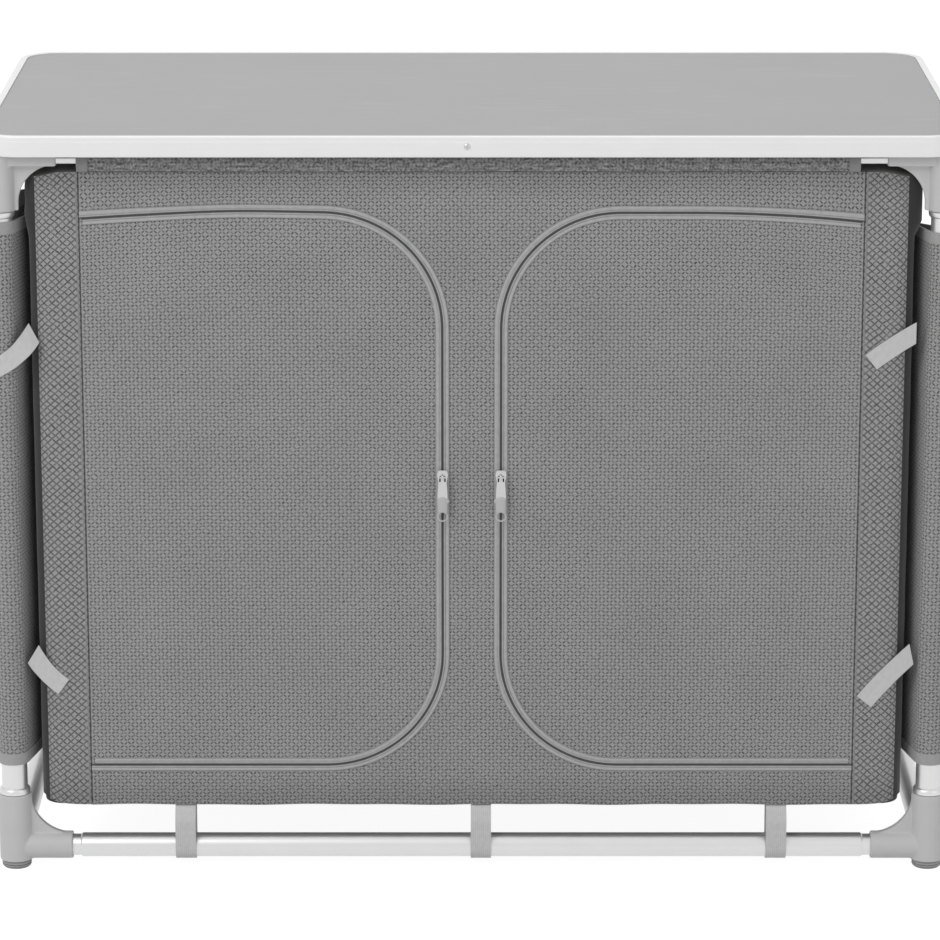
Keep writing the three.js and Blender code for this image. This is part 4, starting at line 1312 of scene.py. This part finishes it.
class KITCHEN_OT_sliders(Operator):
    """Zip sliders, and pullers with a moulded grip"""

    bl_idname = "kitchen.sliders"
    bl_label = "Sliders and pullers"

    def execute(self, context):
        metal = "zip_metal"
        for side, sign in SIDES.items():
            centre = Matrix.Translation((sign * (SLIDER_LOW.x + SLIDER_HIGH.x) / 2, 0, 0))
            bodies = "slider_" + side, "puller_" + side
            shape, nodes = moved(self.slider(), centre), ["zip_slider_" + side]
            make("slider_body_" + side, shape, metal, bodies[0], nodes)
            bar, grip, nodes = self.bar(), self.grip(sign), ["zip_puller_" + side]
            make("puller_bar_" + side, moved(bar, centre), metal, bodies[1], nodes)
            make("puller_grip_" + side, moved(grip, centre), "grip", bodies[1])
        return {"FINISHED"}

    def slider(self):
        """A slider's waisted plate with a lip at each side, and the bail in front of it."""
        low, high, depth = SLIDER_LOW, SLIDER_HIGH, 2.8 * MM
        middle, half = (low.z + high.z) / 2, (high.z - low.z) / 2
        back = FACE - 2.6 * MM
        face = back - depth
        shares = (4.3, -1), (6.1, 0.35), (4.8, 1)
        corners = [(x * MM, middle + half * share) for x, share in shares]
        plate = flat_cloth(corners + flip(corners), [(1 * MM, range(6))], arc=3)
        rounded(thicken(plate, depth), None, 0.5 * MM, 3)
        parts = [moved(plate, Matrix.Translation((0, face, 0)))]
        for sign in (-1, 1):
            inner, outer = sorted((sign * 2.5 * MM, sign * 4.5 * MM))
            inset, sunk = 0.4 * MM, 0.5 * MM
            lip = slab((inner, back - sunk, low.z + inset), (outer, high.y, high.z - inset))
            parts.append(rounded(lip, lip.edges[:], 0.3 * MM, 2))
        rise, thick, bend = 2.2 * MM, 0.6 * MM, 1.2 * MM
        ring = [
            (thick * math.cos(angle) * 2, face, middle + rise + thick * math.sin(angle))
            for angle in angles(10)
        ]
        bail = Band(ring, -Y, (0, face, middle + rise), closed=True)
        reach = face - low.y - thick - bend
        bail.go(reach)
        for straight in (2 * (rise - bend), reach):
            bail.turn(X, bend, QUARTER, 5)
            bail.go(straight)
        return merged(*parts, bail.finish(capped=True))

    def bar(self):
        """The puller's flat eye and tapering plate."""
        pivot, top, thick = (PULLER_LOW.y + PULLER_HIGH.y) / 2, PULLER_HIGH.z, 1.5 * MM
        sides = [(5.4, -24), (5.0, -14), (4.2, -4), (3.6, 0)]
        corners = [(x * MM, top + z * MM) for x, z in sides]
        bars = [thicken(flat_cloth(corners + flip(corners), [(1.4 * MM, [3, 4])], arc=4), thick)]
        for edge in (-1, 1):
            inner, outer = sorted((edge * 1.9 * MM, edge * 3.4 * MM))
            bars.append(slab((inner, 0, top - 5.5 * MM), (outer, thick, top - 1.5 * MM)))
        return moved(merged(*bars), Matrix.Translation((0, pivot - thick / 2, 0)))

    def grip(self, sign):
        """The puller's round-topped grip, with a ring below it and a knob at one side."""
        pivot, top, low = (PULLER_LOW.y + PULLER_HIGH.y) / 2, PULLER_HIGH.z, PULLER_LOW.z
        deep, thick = (PULLER_HIGH.y - PULLER_LOW.y) / 2, 1.5 * MM
        start, stop = top - 21 * MM, low + 10.5 * MM
        bands = []
        for step in range(13):
            at = step / 12
            level = start + (stop - start) * at
            dome = math.sqrt(max(0.02, 1 - max(0, 1 - at / 0.22) ** 2))
            wide = (5.6 - 0.4 * at) * MM * dome
            fat = deep * dome * (1 if at < 0.75 else 1.3 - 0.4 * at)
            bands.append(
                [(wide * math.cos(a), pivot + fat * math.sin(a), level) for a in angles(28)]
            )
        knob = bmesh.new()
        bmesh.ops.create_uvsphere(knob, u_segments=16, v_segments=10, radius=2.2 * MM)
        flatten = Matrix.Diagonal((1, 0.6, 1.2, 1))
        knob = moved(knob, Matrix.Translation((-sign * 5.2 * MM, pivot, top - 27 * MM)) @ flatten)
        place = Matrix.Translation((0, pivot - thick / 2, low + 6 * MM))
        ring = disc(5.8 * MM, 0, thick, 4.3 * MM, 40)
        ring = moved(ring, place @ Matrix.Rotation(-QUARTER, 4, "X"))
        return merged(stacked(bands), knob, ring)


class KITCHEN_OT_leg_wraps(Operator):
    """Cloth wraps round the legs, bound at both ends"""

    bl_idname = "kitchen.leg_wraps"
    bl_label = "Leg wraps"

    def execute(self, context):
        sizes = context.scene.kitchen_sizes
        low, high, wide, over = WRAP_LOW.z, WRAP_HIGH.z, sizes.binding, 0.5 * MM
        cloth, fading = 1.4 * MM, 60 * MM
        bands = {"top": (high - wide, high + over), "bottom": (low - over, low + wide)}
        for corner, place in at_legs(mirror=True):
            bm, run = self.walk(divided(low, high, sizes.net), cloth)
            self.lift(bm, high, corner)

            def slack(u, v):
                fade = clamp(v / fading, (high - low - v) / fading)
                return rumple(u * 0.6, v, 90 * MM, 4.2) * 0.9 * MM * fade

            shift(bm, slack)
            node, bm = "leg_wrap_" + corner, moved(bm, place)
            wrap = make("cloth_" + node, bm, "panel_cloth", "frame", [node], cloth, 0)
            for name, (bottom, top) in bands.items():
                steps = [bottom + (top - bottom) * share for share in (0, 0.08, 0.3, 0.7, 0.92, 1)]
                bm, _ = self.walk(steps, cloth)
                self.lift(bm, high, corner)
                name, bm = "binding_%s_%s" % (name, node), moved(bm, place)
                make(name, bm, "binding", thickness=cloth + 1.1 * MM, offset=0)
            flat, rests = (run, high - low), ["tube_leg_" + corner]
        return {"FINISHED"}

    def lift(self, bm, high, corner):
        """Moves the wrap's upper edge at its leg, at its tip and in its fold by the cupboard."""
        moves = {"front_left": (4.5, 0, 26), "front_right": (-7, -10, 0)}
        at_leg, at_tip, fold = (value * MM for value in moves.get(corner, (0, 0, 0)))
        for vert in bm.verts:
            far = clamp((vert.co.y + 12 * MM) / (70 * MM))
            folded = clamp((vert.co.y - 38 * MM) / (8 * MM))
            move = at_leg + (at_tip - at_leg) * far + fold * folded
            vert.co.z += move * max(0, 1 - (high - vert.co.z) / (120 * MM))

    def walk(self, levels, cloth):
        """The wrap's plan: forwards beside the cupboard, round the leg and back."""
        side, radius, pitch = LEG_AXIS.x - WRAP_LOW.x, 15 * MM, 7 * MM
        outer, inner = side - cloth / 2, side - 1.5 * cloth - 0.1 * MM
        tip, tail = 58 * MM, 86 * MM
        start = Vector((outer, tail, 0))
        band = Band([(start.x, start.y, z) for z in levels], -Y, start)
        band.go(tail - tip, pitch)
        first, second = Vector((outer, tip, 0)), Vector((inner, tip, 0))
        begin = math.atan2(first.y, first.x) - math.acos(radius / first.length)
        end = math.atan2(second.y, second.x) + math.acos(radius / second.length)
        touch, leave = (radius * Vector((math.cos(a), math.sin(a), 0)) for a in (begin, end))
        band.heading = (touch - first).normalized()
        band.go((touch - first).length, pitch)
        band.turn(Z, radius, end - FULL - begin, 28)
        band.heading = (second - leave).normalized()
        band.go((second - leave).length, pitch)
        band.heading = Y
        band.go(tail - tip, pitch)
        return band.finish(), band.run


class KITCHEN_OT_rail_sleeves(Operator):
    """Cloth sleeves on the upper rails, whose ends are bound"""

    bl_idname = "kitchen.rail_sleeves"
    bl_label = "Rail sleeves"

    def execute(self, context):
        cloth, bind = 1.2 * MM, 11.5 * MM
        lap, over = 0.6 * bind, 0.2 * MM
        # The left end reaches past the CAD's and the right one stops before it, as photographed
        reach = {"left": SLEEVE_HIGH.x + 2 * MM, "right": SLEEVE_HIGH.x - 5 * MM}
        first, last = lap - reach["left"], reach["right"] - lap
        stations = divided(first, last, context.scene.kitchen_sizes.net)
        for side, sign in ENDS.items():
            node, place = "rail_sleeve_" + side, mirrored(1, sign)
            bm, run = self.walk(stations)

            def creases(u, v):
                return rumple(u, v, 60 * MM, 6.6) * 0.5 * MM * min(1, abs(u - run / 2) / (30 * MM))

            shift(bm, creases)
            name, bm = "cloth_" + node, moved(bm, place)
            sleeve = make(name, bm, "sleeve_cloth", "frame", [node], cloth)
            for end, way in SIDES.items():
                half = reach[end]
                limits = sorted([(half - bind) * way, (half - lap) * way, (half + over) * way])
                name, bm = "binding_%s_%s" % (end, node), moved(self.walk(limits)[0], place)
                make(name, bm, "hem", thickness=cloth + 0.9 * MM, offset=-0.4)
        return {"FINISHED"}

    def walk(self, stations):
        """The sleeve's section: up from the skirt's outer edge, over the rail and down again."""
        bottom, rail_low = SLEEVE_LOW.z + 2 * MM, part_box("top_rail_rear")[0]
        top, outer, back = SLEEVE_HIGH.z, SLEEVE_HIGH.y, rail_low.y - 1.4 * MM
        lap = SIDE_HIGH.y + 0.4 * MM
        start = Vector((0, lap + 1.5 * MM, bottom))
        band = Band([(x, start.y, start.z) for x in stations], Z, start)
        points = [
            (0, outer, rail_low.z - 0.5 * MM),
            (0, outer, top),
            (0, back, top),
            (0, back, rail_low.z - 1.4 * MM),
            (0, lap + 0.1 * MM, rail_low.z - 1.6 * MM),
            (0, lap + 0.1 * MM, bottom + 0.5 * MM),
        ]
        band.follow(points, [radius * MM for radius in (6, 3, 3, 3, 2)], X, 4 * MM, 5)
        return band.finish(), band.run


class KITCHEN_OT_base_straps(Operator):
    """Webbing straps under the floor, looped round the base rails"""

    bl_idname = "kitchen.base_straps"
    bl_label = "Base straps"

    def execute(self, context):
        sizes = context.scene.kitchen_sizes
        thick, axis = sizes.webbing, LEG_AXIS.y
        radius = sizes.rail_radius + 0.4 * MM + thick / 2
        inset, aside, sink = 62 * MM, 10 * MM, RAIL_LEVEL - radius
        for name in ("left", "middle", "right"):
            node = "base_strap_" + name
            low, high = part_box(node)
            middle, half = (low.x + high.x) / 2 + aside, (high.x - low.x) / 2 - 1.5 * MM
            level = high.z - thick / 2
            shares = (-1, -0.92, -0.6, -0.2, 0.2, 0.6, 0.92, 1)
            start = Vector((middle, -axis + inset, level - 1.6 * MM))
            band = Band([(middle + half * s, start.y, start.z) for s in shares], -Y, start)
            loop = [
                (middle, -axis + radius, level - 2.4 * MM),
                (middle, -axis + radius, sink),
                (middle, -axis - radius, sink),
                (middle, -axis - radius, level - 16 * MM),
                (middle, -axis - 5 * MM, level),
            ]
            rear = [(x, -y, z) for x, y, z in reversed(loop)]
            finish = (middle, axis - inset, level - 1.6 * MM)
            bends = [8 * MM, radius, radius, 14 * MM, 5 * MM]
            band.follow([*loop, *rear, finish], bends + bends[::-1], -X, 8 * MM, 10)
            name, bm = "webbing_" + node, band.finish()
            piece = make(name, bm, "webbing", "frame", [node], thick, 0)
            2 * half
        return {"FINISHED"}


class KITCHEN_OT_ties(Operator):
    """Webbing ties for the rolled doors"""

    bl_idname = "kitchen.ties"
    bl_label = "Ties"

    def execute(self, context):
        thick, half = context.scene.kitchen_sizes.webbing, 10 * MM
        # Slope and bend in degrees, length and start in millimetres, and which way it hangs
        shapes = {
            "upper_left": (58, -36, 62, -5, 1),
            "upper_right": (30, 8, 56.5, 2, -1),
            "lower_left": (62, -26, 49, 4.5, -1),
            "lower_right": (43, 8, 73, 6, -1),
        }
        levels = {"upper": SIDE_HIGH.z - 172 * MM, "lower": SIDE_LOW.z + 171 * MM}
        for name, (slope, bend, run, start, way) in shapes.items():
            level, side = name.split("_")
            sign = SIDES[side]
            lean, bend, run = math.radians(slope), math.radians(bend), run * MM
            heading = Vector((math.cos(lean), 0, -math.sin(lean)))
            across = Vector((math.sin(lean), 0, math.cos(lean)))
            shares = (-1, -0.9, -0.4, 0, 0.4, 0.9, 1)
            band = Band([across * half * s for s in shares], heading, (0, 0, 0))
            band.turn(Y, run / abs(bend), bend, 16)
            unwrap(band.bm)
            for vert in band.bm.verts:
                along, aside = vert[band.flat].x / run, vert[band.flat].y - half
                # The root is cut upright
                slant = max(-0.6, min(0.6, math.tan(lean))) * max(0, 1 - along / 0.4)
                vert.co -= heading * aside * slant
                if way < 0:
                    out, curl = 0.9 + 0.5 * along**2, 2 * along
                else:
                    out = 1 + 9 * math.sin(min(1, along / 0.4) * QUARTER)
                    curl = 7 * along * (1 - along)
                vert.co.y = -out * MM - aside * aside * curl
            bmesh.ops.recalc_face_normals(band.bm, faces=band.bm.faces)
            root = Vector((sign * (SIDE_HIGH.x + start * MM), FACE, levels[level]))
            bm = moved(band.bm, Matrix.Translation(root) @ mirrored(sign * way))
            node = "door_tie_" + name
            piece = make("webbing_" + node, bm, "webbing", "frame", [node], thick, 0)
            rests = ["cloth_side_front_" + side]
        return {"FINISHED"}


class KITCHEN_OT_seams(Operator):
    """Stitches beside the doors' seams, at the front and at the back"""

    bl_idname = "kitchen.seams"
    bl_label = "Seams"

    def execute(self, context):
        pitch = context.scene.kitchen_sizes.stitch
        radius, share, rise = 0.42 * MM, 0.72, 0.15 * MM
        low, high = SIDE_LOW.z + 4 * MM, SIDE_HIGH.z - 2 * MM
        for side, sign in SIDES.items():
            bm = bmesh.new()
            for face in (FACE, -FACE):
                for step in range(int((high - low) / pitch)):
                    level = low + pitch * (step + 0.5)
                    middle = (sign * STITCH_LINE, face + math.copysign(rise, face), level)
                    add_rod(bm, radius, pitch * share, Matrix.Translation(middle), 6)
            make("stitches_" + side, bm, "thread")
        return {"FINISHED"}


class KITCHEN_OT_stage(Operator):
    """White ground, soft lamps and the camera"""

    bl_idname = "kitchen.stage"
    bl_label = "Stage"

    def execute(self, context):
        scene = context.scene
        bm = bmesh.new()
        bmesh.ops.create_grid(bm, x_segments=1, y_segments=1, size=20)
        mesh = bpy.data.meshes.new("ground")
        bm.to_mesh(mesh)
        bm.free()
        ground = bpy.data.objects.new("ground", mesh)
        mesh.materials.append(material("floor"))
        scene.collection.objects.link(ground)
        # Place, width and power
        lamps = {
            "key": ((-2.4, -3.0, 3.4), 2.2, 58),
            "fill": ((2.8, -3.0, 1.8), 2.4, 8),
            "top": ((0, 0.6, 3.4), 2.6, 22),
        }
        aim = Vector((0, 0, 0.4))
        for name, (place, size, power) in lamps.items():
            lamp = bpy.data.lights.new(name, "AREA")
            lamp.size, lamp.energy = size, power
            holder = bpy.data.objects.new(name, lamp)
            holder.location = place
            holder.rotation_euler = (aim - Vector(place)).to_track_quat("-Z", "Y").to_euler()
            scene.collection.objects.link(holder)
        scene.world = bpy.data.worlds.new("studio")
        scene.world.use_nodes = True
        sky = Nodes(scene.world.node_tree)
        strength = sky.seen_rays() * 0.45 + 0.55
        sky.feed(sky.tree.nodes["Background"], {"Color": (1, 1, 1), "Strength": strength})
        camera = bpy.data.cameras.new("camera")
        camera.lens, camera.sensor_width, camera.clip_end = 168.95, 36, 100
        holder = bpy.data.objects.new("camera", camera)
        holder.location = (-0.0018, -4.7641, 1.6680)
        holder.rotation_euler = (math.radians(90 - 15.109), 0, 0)
        scene.collection.objects.link(holder)
        scene.camera = holder
        scene.view_settings.view_transform = "Standard"
        return {"FINISHED"}


OPERATORS = (
    KITCHEN_OT_worktop,
    KITCHEN_OT_legs,
    KITCHEN_OT_base_rails,
    KITCHEN_OT_brackets,
    KITCHEN_OT_base_corners,
    KITCHEN_OT_feet,
    KITCHEN_OT_cupboard_back,
    KITCHEN_OT_cupboard_front,
    KITCHEN_OT_cupboard_sides,
    KITCHEN_OT_doors,
    KITCHEN_OT_boards,
    KITCHEN_OT_zips,
    KITCHEN_OT_sliders,
    KITCHEN_OT_leg_wraps,
    KITCHEN_OT_rail_sleeves,
    KITCHEN_OT_base_straps,
    KITCHEN_OT_ties,
    KITCHEN_OT_seams,
    KITCHEN_OT_stage,
)


class KITCHEN_PT_sidebar(Panel):
    """Lists the pieces of the kitchen unit, and the sizes and colours behind them"""

    bl_idname = "KITCHEN_PT_sidebar"
    bl_label = "Kitchen unit"
    bl_space_type = "VIEW_3D"
    bl_region_type = "UI"
    bl_category = "Kitchen unit"

    def draw(self, context):
        for operator in OPERATORS:
            self.layout.operator(operator.bl_idname)
        for group in (context.scene.kitchen_sizes, context.scene.kitchen_colours):
            for name in group.__annotations__:
                self.layout.prop(group, name)


CLASSES = (KitchenSizes, KitchenColours, *OPERATORS, KITCHEN_PT_sidebar)


def register():
    for item in CLASSES:
        bpy.utils.register_class(item)
    bpy.types.Scene.kitchen_sizes = PointerProperty(type=KitchenSizes)
    bpy.types.Scene.kitchen_colours = PointerProperty(type=KitchenColours)


def unregister():
    del bpy.types.Scene.kitchen_colours
    del bpy.types.Scene.kitchen_sizes
    for item in reversed(CLASSES):
        bpy.utils.unregister_class(item)


def main():
    register()
    for operator in OPERATORS:
        group, name = operator.bl_idname.split(".")
        getattr(getattr(bpy.ops, group), name)()
    bpy.context.view_layer.update()


if __name__ == "__main__":
    main()
